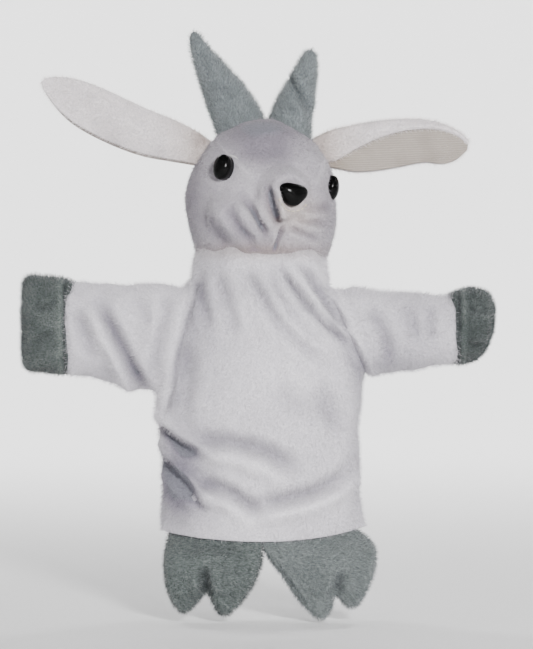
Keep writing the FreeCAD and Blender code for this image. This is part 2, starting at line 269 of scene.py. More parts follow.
def inflate(piece, cap, pins):
    """Puff a closed skin with a short cloth simulation, no point moving further than cap."""
    before = get_points(piece)
    group = piece.vertex_groups.new(name="held")
    for index, weight in enumerate(pins):
        if weight > 0:
            group.add([index], float(weight), "REPLACE")
    cloth = piece.modifiers.new("cloth", "CLOTH")
    for name, value in CLOTH.items():
        setattr(cloth.settings, name, value)
    cloth.settings.effector_weights.gravity = 0
    cloth.collision_settings.use_collision = False
    scene = bpy.context.scene
    for step in range(1, CLOTH_FRAMES + 1):
        scene.frame_set(step)
    puffed = piece.evaluated_get(bpy.context.evaluated_depsgraph_get())
    move = read_rows(puffed.to_mesh().vertices, "co") / MM - before
    puffed.to_mesh_clear()
    piece.modifiers.clear()
    piece.vertex_groups.clear()
    scene.frame_set(1)
    length = np.linalg.norm(move, axis=1, keepdims=True)
    move *= np.minimum(1, cap / np.maximum(length, 1e-9))
    set_points(piece, before + move)
    print(piece.name, "puffed by up to", round(float(np.linalg.norm(move, axis=1).max()), 2), "mm")


# %% [markdown]
# ## Folds
# A fold is a stroke: a line across the front, a width and a depth. Each point near the line
# sinks by a bell shaped amount, and the cloth beside it rises a little, as real cloth does.
# Each fold also paints shade into its valley and light on its rise.
# Strokes are placed where the cloth is pulled, from the neck, the armpits and the hem.

# %% Fold helper
def line_distance(points, path):
    """Distance from 2-D points to a path, how far along it, and the side they are on."""
    best = np.full(len(points), 1e9)
    along = np.zeros(len(points))
    side = np.zeros(len(points))
    total = sum(math.dist(a, b) for a, b in zip(path, path[1:]))
    passed = 0.0
    for a, b in zip(path, path[1:]):
        a, b = np.array(a, float), np.array(b, float)
        d = b - a
        length = float(np.linalg.norm(d))
        t = np.clip(((points - a) @ d) / (length * length), 0, 1)
        gap = points - (a + t[:, None] * d)
        far = np.linalg.norm(gap, axis=1)
        near = far < best
        best = np.where(near, far, best)
        along = np.where(near, (passed + t * length) / total, along)
        side = np.where(near, np.sign(d[0] * gap[:, 1] - d[1] * gap[:, 0]), side)
        passed += length
    return best, along, side


def spline(before, a, b, after, t):
    """A point between a and b on the smooth curve through all four (Catmull-Rom)."""
    square = (2 * before - 5 * a + 4 * b - after) * t ** 2
    cube = (3 * a - before - 3 * b + after) * t ** 3
    return 0.5 * (2 * a + (b - before) * t + square + cube)


def curve_through(path, steps=10):
    """A smooth path through a few points."""
    p = [np.array(q, float) for q in path]
    p = [2 * p[0] - p[1]] + p + [2 * p[-1] - p[-2]]
    out = []
    for a, b, c, d in zip(p, p[1:], p[2:], p[3:]):
        out += [spline(a, b, c, d, k / steps) for k in range(steps)]
    out.append(p[-2])
    return [tuple(q) for q in out]


def add_shade(piece, amount, name="tone_and_painted_shade"):
    """Add to a value stored at each point: tone and painted shade dim the pile there, a negative value is
    painted light, and warm yellows it.
    """
    stored = piece.data.attributes
    attribute = stored.get(name) or stored.new(name, "FLOAT", "POINT")
    values = np.empty(len(piece.data.vertices), np.float32)
    attribute.data.foreach_get("value", values)
    attribute.data.foreach_set("value", (values + amount).astype(np.float32))


def bell(far, width):
    """1 at no distance, falling off smoothly over a width."""
    return np.exp(-((far / width) ** 2))


FOLD_ENDS = 0.3      # the share of a fold's length over which each end fades
FOLD_PAINTED_SHADE = 0.13    # shade for each millimetre of depth


def fold(piece, path, width, depth, rise, lean, front=True):
    """Press one fold into the front or the back of a piece, with painted shade in its valley and painted
    light on its rise. Lean shifts the rise to one side.
    """
    points = get_points(piece)
    normals = get_normals(piece)
    facing = np.clip((-normals[:, 1] if front else normals[:, 1]) * 2.5, 0, 1)
    far, along, side = line_distance(points[:, [0, 2]], curve_through(path))
    fade = ease(np.clip(np.minimum(along, 1 - along) / FOLD_ENDS, 0, 1)) * facing
    valley = bell(far, width)
    ridge = bell(far - 1.9 * width, 1.1 * width) * (1 + lean * side)
    move = depth * (rise * ridge - valley) * fade
    set_points(piece, points + normals * move[:, None])
    # Painted shade in the valley of the fold, and painted light on the cloth that rises beside it.
    crease_painted_shade = 0.6 * valley + 0.4 * bell(far, 2.4 * width)
    add_shade(piece, FOLD_PAINTED_SHADE * depth * (crease_painted_shade - 0.5 * rise * ridge) * fade)


def soft_shade(piece, at, size, amount, name="tone_and_painted_shade"):
    """Add to a stored value over a broad soft patch of the front, placed by x and z."""
    points = get_points(piece)
    facing = np.clip(-get_normals(piece)[:, 1] * 2.5 + 0.3, 0, 1)
    away = ((points[:, 0] - at[0]) / size[0]) ** 2 + ((points[:, 2] - at[1]) / size[1]) ** 2
    add_shade(piece, amount * np.exp(-away) * facing, name)


def crumple(piece, amount, size, seed, stretch=(1.0, 1.0, 1.0)):
    """Uneven soft dents over the whole piece, as handled cloth has."""
    points = get_points(piece)
    shift = Vector((seed * 17.3, seed * 5.1, -seed * 9.7))
    scale = Vector(stretch) / size
    move = np.array([noise.noise(Vector(p * scale) + shift) for p in map(Vector, points)])
    set_points(piece, points + get_normals(piece) * (amount * move)[:, None])


def folds(piece, strokes, front=True):
    """Press a list of folds: (path, width, depth, rise, lean)."""
    for path, width, depth, rise, lean in strokes:
        fold(piece, path, width, depth, rise, lean, front)


# %% [markdown]
# ## Body and sleeves
# The garment is one soft form at first: a flattened tube for the body and a tube for each arm
# are melted together by a voxel remesh and relaxed, so the armpits round off as sewn plush
# does. It is then cut open at the hem, the neck and the cuffs, and cut into body and sleeves
# along the armhole seams, so that the pieces meet exactly.

# %% Garment form
body_rings = (      # height, middle, half width, half depth
    (-9, 1.6, 49.4, 20.5), (10, 0.4, 48.8, 21), (26, -1.2, 47.0, 21.5), (40, -1.0, 47.0, 22),
    (54, -1.4, 48.0, 22), (65, -1.2, 49.2, 21.5), (75, -0.8, 48.5, 21), (90, -0.8, 44.0, 20.5),
    (105, -0.8, 38.5, 21), (116, -0.8, 35.0, 24), (123, -0.6, 33.0, 28), (129, -0.5, 32.0, 31),
    (135, -0.5, 31.6, 31.4), (139, -0.5, 29.5, 29.5), (146, -0.5, 27.0, 27.0),
)
arm_rings = {       # distance out, height of the middle, half height, half depth
    "left": ((30, 97, 20, 14), (44, 97.5, 22.3, 16), (54, 98.3, 20.6, 16.5), (66, 99.2, 19.0, 15.5),
             (82, 100.0, 17.3, 14.5), (93, 100.6, 16.4, 14.0), (99, 100.8, 16.0, 13.6)),
    "right": ((30, 97, 21, 14), (44, 96.5, 25.0, 15), (54, 96.2, 25.6, 14.5), (69, 98.0, 24.4, 12.5),
              (84, 100.0, 23.4, 10.5), (94, 101.2, 23.0, 9.8), (101, 101.4, 22.6, 9.4)),
}
OUT = {"left": 1, "right": -1}


def garment():
    """The body and both arms as one relaxed form."""
    rings = [((c, 0, z), (w, 0, 0), (0, d, 0), 2.35) for z, c, w, d in body_rings]
    parts = [tube("form_body", rings, 96)]
    for side, sign in OUT.items():
        rings = [((sign * x, 0, z), (0, 0, h), (0, d, 0), 2.2) for x, z, h, d in arm_rings[side]]
        parts.append(tube("form_arm_" + side, rings, 72))
    form = join("form", *parts)
    melt(form, 1.75, 14)
    return form


form = garment()
print("garment form", len(form.data.polygons), "faces")

# %% [markdown]
# The garment is refined before its folds are pressed in. Soft patches of painted shade follow,
# and a few of painted light.

# %% Refine and press the folds
chest_folds = (
    (((6, 134), (9.5, 128), (18.3, 115.8), (29.6, 103), (40, 94), (46, 88.5)), 2.0, 2.4, 0.8, 0.7),
    (((-10, 133), (-1, 117), (10, 101), (22, 90), (34, 80)), 3.0, 1.5, 0.7, 0.3),
    (((-22, 132), (-17, 112), (-11, 92)), 3.2, 1.2, 0.7, 0.2),
    (((14, 134), (24, 123), (33, 108), (41, 97)), 2.0, 1.8, 0.7, 0.3),
    (((2, 128), (10, 113), (22, 99), (33, 90)), 1.8, 1.1, 0.7, 0.2),
    (((-28, 132), (-28, 117), (-25, 98)), 2.6, 1.2, 0.6, -0.3),
    (((-38, 98), (-35, 82), (-35.5, 70), (-40, 54)), 4.4, 1.3, 0.6, 0.0),
)
belly_folds = (
    (((-60, 61), (-48, 52.5), (-36, 43.5), (-24, 37)), 2.4, 3.2, 0.8, 0.3),
    (((-58, 47), (-44, 34), (-33, 22), (-24, 10)), 2.4, 2.8, 0.8, 0.3),
    (((-38, 47), (-22, 47.5), (-8, 45), (6, 40), (22, 29)), 4.0, 2.8, 0.9, -0.6),
    (((-34, 29), (-20, 25), (-11, 20.5), (2, 9)), 3.2, 2.6, 0.8, -0.4),
    (((-10, 16), (8, 19), (26, 24), (38, 31), (45, 42)), 3.4, 2.6, 0.9, -0.6),
    (((26, 78), (32, 64), (36, 46)), 4.4, 1.6, 0.5, 0.0),
    (((2, 74), (18, 64), (38, 60)), 5.0, 1.2, 0.4, 0.0),
)
back_folds = (
    (((-40, 84), (-24, 96), (-10, 112)), 4.0, 2.2, 0.6, 0.0),
    (((42, 84), (26, 94), (12, 110)), 4.0, 2.2, 0.6, 0.0),
    (((-30, 24), (-8, 34), (18, 30), (40, 42)), 4.4, 2.0, 0.6, -0.4),
    (((-44, 56), (-22, 60), (0, 54)), 4.2, 1.6, 0.5, 0.0),
)
subdivide(form)
folds(form, chest_folds)
folds(form, belly_folds)
folds(form, back_folds, front=False)
crumple(form, 1.6, 17, 1, (1.0, 0.8, 0.6))
crumple(form, 0.7, 7, 2, (0.9, 0.8, 0.7))
# Painted shade: the deep fold low on the right, the armpits, the left arm more than the right and the line
# under the head; a negative amount is painted light.
garment_painted_shade = (      # place, size, amount
    ((-27, 100), (9, 30), 0.20), ((4, 122), (20, 10), 0.10), ((-41, 31), (13, 22), 0.68),
    ((48, 40), (6, 40), 0.24), ((-34, 18), (10, 14), 0.14), ((-75, 98), (26, 40), 0.07),
    ((75, 98), (26, 40), 0.15), ((12, 78), (16, 18), -0.10), ((-4, 8), (22, 9), -0.10),
    ((60, 84), (16, 7), 0.20), ((-66, 78), (20, 6), 0.16), ((-60, 106), (10, 9), -0.08),
    ((0, 137), (34, 3.5), 0.30),
)
for patch in garment_painted_shade:
    soft_shade(form, *patch)

sleeve_folds = (
    (((-82, 118), (-75, 107), (-67, 92), (-60, 78), (-52, 62)), 2.9, 3.4, 0.7, -0.4),
    (((-92, 112), (-87, 104), (-83, 92), (-80, 84)), 3.0, 1.6, 0.5, 0.0),
    (((-44, 122), (-46, 108), (-50, 92), (-52, 76)), 2.6, 1.5, 0.5, -0.2),
    (((-62, 118), (-57, 108), (-54, 98)), 3.0, 1.0, 0.4, 0.0),
    (((46, 113), (55, 104), (60, 90), (59, 79)), 3.2, 1.7, 0.5, 0.0),
    (((66, 114), (72, 104), (74, 92)), 3.2, 1.2, 0.4, 0.0),
    (((82, 114), (80, 103), (82, 92)), 2.6, 1.2, 0.4, 0.0),
)
folds(form, sleeve_folds)

armholes = {        # the seam in front view, from the shoulder to the armpit
    "left": ((31.5, 119.5), (50.5, 77.5)),
    "right": ((-32.0, 121.0), (-43.8, 70.0)),
}
seam_out = {}
for side, (top, foot) in armholes.items():
    along = np.array(foot, float) - np.array(top, float)
    along /= np.linalg.norm(along)
    out = np.array((-along[1], along[0]))
    if out[0] * OUT[side] < 0:
        out = -out
    seam_out[side] = out


CUFF_SEAM = 94.2
for side, (top, foot) in armholes.items():
    middle = (np.array(top) + np.array(foot)) / 2
    points = get_points(form)
    far = (points[:, [0, 2]] - middle) @ seam_out[side]
    low_end = np.clip((points[:, 2] - 60) / 5, 0, 1)
    high_end = np.clip((top[1] + 3 - points[:, 2]) / 3, 0, 1)
    ridge = bell(far - 3.4, 2.2)
    move = (-2.0 * bell(far, 1.5) + 1.0 * ridge) * low_end * high_end
    set_points(form, points + get_normals(form) * move[:, None])
    # Painted shade on the chest beside the seam, and painted light on the ridge of the sleeve.
    seam_painted_shade = bell(far + 3.0, 3.4) + 0.8 * bell(far, 1.0) - 0.35 * ridge
    add_shade(form, 0.20 * seam_painted_shade * low_end * high_end)
    points = get_points(form)
    far = points[:, 0] * OUT[side] - CUFF_SEAM
    set_points(form, points - get_normals(form) * bell(far, 1.6)[:, None])

# %% [markdown]
# The form is cut at the hem and the neck, then into body and sleeves. An armhole is a slanted
# plane up to the shoulder and an upright one above it, so that the neck stays with the body.
# The hem is lifted a little towards its sides, as its middle hangs forward of the feet.

# %% Cut the garment into its pieces
HEM = 0.2
HEM_HALF = 48            # half the hem's width
HEM_REACH = 22           # how high up the cloth the hem's shape is felt
NECK_TOP = 139
CUFF = 94.3
SHOULDER_TOP = 33.0      # how far out the armhole's upright part is
body = form
body.name = "body_cloth"
body.data.name = "body_cloth"
cut_away(body, (0, 0, HEM), (0, 0, -1))
cut_away(body, (0, 0, NECK_TOP), (0, 0, 1))


def hem_lift(x):
    """How far the hem is lifted at a distance from its middle, more on the left side."""
    return np.where(x > 0, 6.2, 4.2) * (x / HEM_HALF) ** 2


points = get_points(body)
near = np.clip((HEM_REACH - points[:, 2]) / HEM_REACH, 0, 1)
points[:, 2] += near * near * (hem_lift(points[:, 0] - 1.0) - 0.9)
set_points(body, points)
cut_lines = []
for side, (top, foot) in armholes.items():
    across, up = map(float, seam_out[side])
    cut_lines.append(((top[0], 0, top[1]), (across, 0, up)))
    cut_lines.append(((OUT[side] * SHOULDER_TOP, 0, 0), (OUT[side], 0, 0)))


def beyond(point, side):
    """Whether a point lies on the sleeve's side of an armhole."""
    top = armholes[side][0]
    across, up = seam_out[side]
    past_seam = (point[0] - top[0]) * across + (point[2] - top[1]) * up > 0
    return past_seam and point[0] * OUT[side] > SHOULDER_TOP


sleeves = {}
for side, sign in OUT.items():
    sleeve = copy_of(body, "sleeve_cloth_" + side)
    keep_faces(sleeve, cut_lines, lambda p: beyond(p, side))
    cut_away(sleeve, (sign * CUFF, 0, 0), (sign, 0, 0))
    smooth_shading(sleeve)
    sleeves[side] = sleeve
keep_faces(body, cut_lines, lambda p: not beyond(p, "left") and not beyond(p, "right"))
smooth_shading(body)
print("body", len(body.data.polygons), "sleeves", [len(s.data.polygons) for s in sleeves.values()])

# %% [markdown]
# ## Head
# The head is turned to the puppet's left and tips a little. Its shape is a stuffed ball with
# a short muzzle, so a few closed shapes are melted together, relaxed and then puffed.

# %% Face frame
HEAD_AT = np.array((-0.5, 0, 169.0))
HEAD_TILT, HEAD_TURN = math.radians(9.5), math.radians(22)
TURN = np.array(Matrix.Rotation(HEAD_TILT, 3, "Y") @ Matrix.Rotation(HEAD_TURN, 3, "Z"))


def face(point):
    """A point of the face in the model's millimetres."""
    return HEAD_AT + TURN @ np.array(point, float)


def centre(node):
    """The middle of a CAD node in millimetres."""
    low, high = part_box(node)
    return (np.array(low) + np.array(high)) / 2 / MM


EYE = np.array((30.3, -21, 4.6))      # the left eye on the face; the right one mirrors it
MIRROR = {"left": np.array((1, 1, 1)), "right": np.array((-1, 1, 1))}
for node, place in (("eye_left", EYE), ("eye_right", EYE * MIRROR["right"]), ("nose", (0, -41, -2.8))):
    gap = float(np.linalg.norm(centre(node) - face(place)))
    print(node, "is", round(gap, 1), "mm from its place on the face")


def blob(name, at, half):
    """An ellipsoid with its axes along the face's."""
    rows, around = 24, 32
    points = []
    for row in range(1, rows):
        a = math.pi * row / rows
        for k in range(around):
            b = 2 * math.pi * k / around
            ball = (math.sin(a) * math.cos(b), math.sin(a) * math.sin(b), math.cos(a))
            points.append(at + TURN @ (np.array(half) * ball))
    faces = ring_faces(rows - 1, around) + closed_ends(rows - 1, around)
    return outward(new_object(name, points, faces))


head_rings = (      # height, half width, half depth
    (134.0, 30.6, 30.6), (137, 31.6, 31.4), (141, 32.4, 31.8), (148, 34.4, 32.6), (156, 35.8, 32.6),
    (164, 36.0, 32.4), (172, 34.6, 31.6), (180, 31.6, 29.4), (188, 26.6, 25.0), (195, 19.6, 19.0),
    (200, 11.0, 11.0), (202, 4.0, 4.0),
)
rings = [((0.1, 0, z), (w + 0.5, 0, 0), (0, d, 0), 2.0) for z, w, d in head_rings]
head = join(
    "head_skin",
    tube("form_head", rings, 96),
    blob("form_muzzle", face((0, -25, -8.0)), (12.5, 13.0, 11.5)),
    blob("form_cheek_left", face((13, -17, -17)), (15, 15, 13)),
    blob("form_cheek_right", face((-14, -17, -17)), (17, 15, 14)),
)
melt(head, 1.9, 9)
inflate(head, 2.0, np.clip((141 - get_points(head)[:, 2]) / 4, 0, 1))
subdivide(head)

# The muzzle's end is flattened round the nose, so that its washer stays inside the cloth.
MUZZLE_END = -38.6
points = (get_points(head) - HEAD_AT) @ TURN
from_nose = np.hypot(points[:, 0], points[:, 2] + 2.8)
share = ease(np.clip((13.5 - from_nose) / 5.5, 0, 1) * (points[:, 1] < -20))
points[:, 1] = np.minimum(points[:, 1], points[:, 1] + share * (MUZZLE_END - points[:, 1]))
set_points(head, points @ TURN.T + HEAD_AT)

# %% [markdown]
# ## Seams and creases of the face
# A gusset runs over the head from the nose between the horns. Its two seams and the seam
# under the chin are shallow grooves with a soft lip. The pull of the fingers creases the
# cheek beside the muzzle.

# %% Press the face
face_creases = (
    (((3.0, 170), (3.5, 165), (4.6, 159), (7.2, 152.5), (10, 148.5)), 1.7, 3.4, 0.9, 0.5),
    (((-7.5, 163), (-3.5, 154), (0.5, 146), (3.5, 138)), 2.0, 1.3, 0.9, 0.3),
    (((-18, 161), (-11.5, 150), (-5, 142), (-1, 136)), 2.2, 1.2, 0.9, 0.3),
    (((-28, 157), (-21, 146), (-14, 137)), 2.4, 0.9, 0.7, 0.2),
    (((-12, 168), (-7, 160), (-1, 150), (4, 143)), 1.5, 0.8, 0.7, 0.2),
    (((12, 149), (19, 146), (28, 142)), 1.6, 1.2, 0.7, 0.0),
    (((14, 152.5), (22, 151), (32, 151)), 1.8, 1.1, 0.7, 0.0),
    (((18, 158), (24, 157), (34, 159)), 2.2, 0.9, 0.5, 0.0),
    (((11.1, 150.4), (8.2, 144), (5.2, 136)), 0.8, 2.0, 0.8, 0.0),
    (((-23, 191), (-15.4, 181.7), (-5.8, 172.5), (1, 168.5)), 1.0, -0.8, 0.0, 0.0),
    (((28.8, 184), (28.2, 174), (25, 168)), 1.0, -0.7, 0.0, 0.0),
    (((-14, 187), (2, 183), (18, 186)), 5.0, 1.0, 0.4, 0.0),
)
folds(head, face_creases)


def dent(piece, at, radius, depth):
    """Pull the cloth in round a fitting."""
    points = get_points(piece)
    near = bell(np.linalg.norm(points - at, axis=1), radius)
    set_points(piece, points - get_normals(piece) * (near * depth)[:, None])


for side in OUT:
    dent(head, face(EYE * MIRROR[side]), 8.0, 2.2)
dent(head, face((0, -40, -2.8)), 6.0, 1.0)
crumple(head, 0.9, 15, 3)
crumple(head, 0.4, 5, 4)
# Painted shade over the top and the sides of the head and under it; a negative amount, below the nose and on
# the cheek, is painted light.
head_painted_shade = (         # place, size, amount
    ((0, 196), (32, 10), 0.26), ((-35, 165), (7, 24), 0.20), ((34, 155), (6, 20), 0.16),
    ((4, 180), (16, 8), 0.06), ((0, 137), (34, 3.0), 0.16), ((17, 154), (9, 7), -0.14),
    ((-10, 170), (12, 8), -0.06), ((-12, 146), (14, 7), 0.10),
)
for patch in head_painted_shade:
    soft_shade(head, *patch)
add_shade(head, 0.34)        # painted shade: the whole head is drawn darker than the body
add_shade(head, 0.12, "warm")
soft_shade(head, (15, 155), (11, 9), 0.7, "warm")
for piece in (head, body):
    soft_shade(piece, (0, 137), (34, 4), 0.5, "warm")
smooth_shading(head)
print("head", len(head.data.polygons), "faces")

# %% [markdown]
# ## Eyes and nose
# The eyes are black plastic domes on washers, and the nose is a flat topped triangle with
# rounded corners. They sit slightly into the pile.

# %% Eyes and nose
def look(direction):
    """Axes for a part that faces a direction: across, up and out, as columns."""
    out = np.array(direction, float)
    out /= np.linalg.norm(out)
    up = TURN @ np.array((0, 0, 1.0))
    across = np.cross(up, out)
    across /= np.linalg.norm(across)
    up = np.cross(out, across)
    return np.stack([across, up, out], axis=1)


def dome(name, at, axes, outline, height, sunk):
    """A domed button: rows of a shrinking outline, rising to the middle."""
    around = len(outline)
    climb = np.linspace(0, math.pi / 2, 12, endpoint=False)
    levels = [(1.0, -sunk)] + [(math.cos(a), height * math.sin(a)) for a in climb]
    points = []
    for scale, rise in levels:
        flat = np.column_stack([outline * scale, np.full(around, rise)])
        points.append(at + flat @ axes.T)
    points.append((at + axes @ np.array((0, 0, height)))[None])
    top = len(levels) * around
    last = top - around
    faces = ring_faces(len(levels), around)
    faces += [(last + k, last + (k + 1) % around, top) for k in range(around)]
    faces.append(tuple(reversed(range(around))))
    piece = outward(new_object(name, np.vstack(points), faces))
    smooth_shading(piece)
    return piece


eyes = {}
for side, sign in OUT.items():
    axes = look(TURN @ np.array((sign * 0.84, -0.54, 0.04)))
    back = face((sign * 31.0, -20.6, 4.6)) - axes[:, 2] * (2.9 if side == "right" else 2.4)
    outline = np.column_stack(rounded(4.5, 6.1, 2, 48))
    eyes[side] = dome("eye_dome_" + side, back, axes, outline, 3.2, 3.5)

a = np.linspace(0, 2 * math.pi, 60, endpoint=False)
reach = 1 + 0.10 * np.cos(3 * (a + math.pi / 2)) + 0.02 * np.cos(2 * a)
nose_outline = np.column_stack([6.9 * reach * np.cos(a), 5.5 * reach * np.sin(a) - 0.2])
nose_axes = look(TURN @ np.array((0, -1, 0.10)))
nose = dome("nose_button", face((1.2, -39.4, -2.6)), nose_axes, nose_outline, 3.6, 3.0)

# %% [markdown]
# ## Horns
# Each horn is a stuffed cone of grey plush with a blunt tip. The rings follow the left and
# right edges of the horn as it is seen from the front.

# %% Horns
horn_edges = {      # left edge, right edge, half depth, from the base to the tip
    "right": (((-20.5, 190), (2, 198), 9.5), ((-22.5, 197), (0, 204), 9.8),
              ((-25.8, 206), (-3.5, 210.5), 9.2),
              ((-29.0, 216), (-9.3, 218.6), 8.4), ((-32.2, 226), (-17, 227), 6.8),
              ((-34.4, 235), (-24.8, 235), 4.8),
              ((-35.2, 241), (-29.0, 240.6), 3.2), ((-34.2, 244.0), (-31.2, 243.8), 1.5)),
    "left": (((2.2, 197), (23.6, 189), 9.0), ((4.4, 204), (23.4, 197), 9.2), ((7.2, 211), (24.4, 206), 8.6),
             ((11.4, 218), (25.6, 214.5), 7.6), ((15.4, 225), (26.4, 222.5), 6.2),
             ((18.2, 230), (26.6, 229), 4.8),
             ((20.0, 233.6), (26.2, 233.2), 3.2), ((21.8, 235.2), (24.6, 235.1), 1.4)),
}
horns = {}
for side, edges in horn_edges.items():
    rings = []
    for left, right, depth in edges:
        left, right = np.array((left[0], 0, left[1])), np.array((right[0], 0, right[1]))
        rings.append(((left + right) / 2, (right - left) / 2, (0, depth, 0), 2.1))
    horn = tube("horn_" + side + "_plush", rings, 48)
    melt(horn, 1.3, 4)
    inflate(horn, 1.2, np.clip((206 - get_points(horn)[:, 2]) / 6, 0, 1))
    subdivide(horn)
    horns[side] = horn
horn_folds = {
    "left": (
        (((12, 228), (15, 218), (21, 207), (24, 200)), 1.8, 1.6, 0.6, 0.4),
        (((6, 205), (12, 206), (17, 203)), 1.6, 0.7, 0.4, 0.0),
    ),
    "right": (
        (((-28, 213), (-20, 215), (-12, 211)), 2.0, 0.8, 0.4, 0.0),
        (((-30, 236), (-27, 226), (-25, 218)), 2.0, 0.6, 0.4, 0.0),
    ),
}
for side, strokes in horn_folds.items():
    folds(horns[side], strokes)
    smooth_shading(horns[side])

# %% [markdown]
# ## Ears
# An ear is two leaves sewn at the rim, plush outside and cream knit inside. The right ear
# shows its plush, with a thin line of lining along its lower rim. The left ear is folded
# over at the top, so its ribbed lining faces the front.

# %% Ears
def leaf(name, grid, wall, offset=-1.0):
    """A cloth leaf with thickness from a grid of points."""
    rows, columns = grid.shape[:2]
    faces = [
        (r * columns + c, r * columns + c + 1, (r + 1) * columns + c + 1, (r + 1) * columns + c)
        for r in range(rows - 1) for c in range(columns - 1)
    ]
    piece = outward(new_object(name, grid.reshape(-1, 3), faces))
    modify(piece, "SOLIDIFY", thickness=wall * MM, offset=offset)
    outward(piece)
    subdivide(piece)
    smooth_shading(piece)
    return piece


def sample(stations, count):
    """Even samples along a table of stations, smoothly."""
    table = np.array(stations, float)
    t = np.linspace(0, len(table) - 1, count)
    i = np.clip(t.astype(int), 0, len(table) - 2)
    f = (t - i)[:, None]
    before, after = table[np.maximum(i - 1, 0)], table[np.minimum(i + 2, len(table) - 1)]
    return spline(before, table[i], table[i + 1], after, f)


right_rim = (       # upper edge x, z, lower edge x, z and depth y, from the root to the tip
    (-24, 190.5, -30, 179, -1), (-32, 196, -37, 180.3, -3), (-42, 201, -46, 181.8, -5),
    (-54, 205.6, -56, 183.6, -7),
    (-66, 211, -67, 187.2, -9.5), (-78, 216.2, -79, 192.5, -12), (-89, 219.6, -89, 198, -14),
    (-97, 220.3, -96, 204, -15.5), (-102, 219.6, -101, 210, -16.5), (-104.6, 217.8, -104, 214.4, -17),
)
left_rim = (
    (24, 190.5, 31, 178.5, 3), (32, 194, 37, 177.5, 4), (42, 196.4, 46, 176, 5.5), (54, 198.6, 57, 177, 7),
    (66, 200, 68, 179, 8.5), (78, 200.4, 79, 181, 10), (88, 198.7, 87.5, 180.2, 11.5),
    (94.5, 196, 94, 182.2, 12.5),
    (98.6, 192.8, 97.6, 185.2, 13), (100.4, 190.4, 99.8, 187.6, 13.2),
)


def ear_grid(rim, across, cup, push=0.0, wave=0.0):
    """A grid over an ear: across runs from the upper rim to the lower one, cup is its hollow."""
    table = sample(rim, 46)
    grid = np.empty((len(table), len(across), 3))
    for r, (ux, uz, lx, lz, y) in enumerate(table):
        t = r / (len(table) - 1)
        for c, v in enumerate(across):
            bow = cup * (1 - (2 * v - 1) ** 2) * math.sin(math.pi * min(t * 1.15 + 0.08, 1))
            ripple = wave * math.sin(9 * t + 3 * v) * math.sin(math.pi * t)
            grid[r, c] = (ux + (lx - ux) * v, y + bow + ripple + push, uz + (lz - uz) * v)
    return grid


even = np.linspace(0, 1, 22)
ear_pieces = {}
ear_pieces["right_outer"] = leaf("ear_right_plush", ear_grid(right_rim, even, -3.4, -1.6, 0.6), 2.0)
lining_across = np.linspace(0.02, 1.05, 22)
ear_pieces["right_lining"] = leaf("ear_right_knit", ear_grid(right_rim, lining_across, -2.4, 0.9, 0.6), 1.0)

# The share of the left ear that its folded lip covers, from the root to the tip
lip_width = (0.86, 0.76, 0.48, 0.29, 0.18, 0.13, 0.08, 0.06, 0.05, 0.05)


BACK_END, TURN_END = 0.6, 0.74           # where along the sweep the back ends, and the turn over the top
TURN_SHARE, LIP_SHARE = 0.14, 0.26       # the turn's and the lip's own shares of the sweep


def left_outer_grid():
    """The plush of the left ear, folded forward over the top of the lining."""
    table = sample(left_rim, 46)
    sweep = np.linspace(0, 1, 34)
    grid = np.empty((len(table), len(sweep), 3))
    for r, (ux, uz, lx, lz, y) in enumerate(table):
        t = r / (len(table) - 1)
        lip = float(np.interp(t * 9, range(10), lip_width))
        thick = 3.2 * math.sin(math.pi * min(t * 1.2 + 0.1, 0.95)) + 0.6
        for c, s in enumerate(sweep):
            if s < BACK_END:
                v = 1 - s / BACK_END
                back = thick * (0.5 + 0.5 * math.sin(math.pi * (1 - v)))
                x, z, depth = ux + (lx - ux) * v, uz + (lz - uz) * v, y + back
            elif s < TURN_END:
                a = math.pi * (s - BACK_END) / TURN_SHARE
                depth = y + thick * 0.5 * math.cos(a)
                x, z = ux, uz + 0.5 * thick * math.sin(a) * 0.8
            else:
                v = lip * (s - TURN_END) / LIP_SHARE
                x, z = ux + (lx - ux) * v, uz + (lz - uz) * v
                depth = y - thick * 0.5 - 0.9 * math.sin(math.pi * (s - TURN_END) / LIP_SHARE)
            grid[r, c] = (x, depth, z)
    return grid


ear_pieces["left_outer"] = leaf("ear_left_plush", left_outer_grid(), 1.8, 0.0)
lining_across = np.linspace(0.03, 0.99, 22)
ear_pieces["left_lining"] = leaf("ear_left_knit", ear_grid(left_rim, lining_across, 1.6, -0.6, 0.4), 1.0)
for side, across in (("right", (-0.4, 0.92)), ("left", (-0.04, 1.0))):
    outer = ear_pieces[side + "_outer"]
    lining = ear_pieces[side + "_lining"]
    for leaf_piece in (outer, lining):
        for amount, size, seed in ((1.5, 17, 11), (0.5, 6, 12)):
            points = get_points(leaf_piece)
            at = points / size + seed
            points[:, 1] += amount * np.array([noise.noise(Vector((x, 0.0, z))) for x, _, z in at])
            set_points(leaf_piece, points)
        # Random patches of tone, painted shade towards the root where the ear meets the head, and the whole
        # ear a little lighter; the root is also warmer.
        points = get_points(leaf_piece)
        patch = np.array([noise.noise(Vector((x, 4.0, z))) for x, _, z in points / 11])
        root = np.clip((50 - np.abs(points[:, 0])) / 18, 0, 1)
        add_shade(leaf_piece, 0.26 * np.maximum(patch, 0) + 0.24 * root * root - 0.10)
        add_shade(leaf_piece, 0.45 + 0.5 * root, "warm")
    ribs = lining.data.attributes.new("across_mm", "FLOAT", "POINT")
    ribs.data.foreach_set("value", (get_points(lining)[:, [0, 2]] @ np.array(across)).astype(np.float32))

# %% [markdown]
# ## Hooves and feet
# The hoof mitts close the sleeves. The feet are cloven: two soft toes with a deep notch.

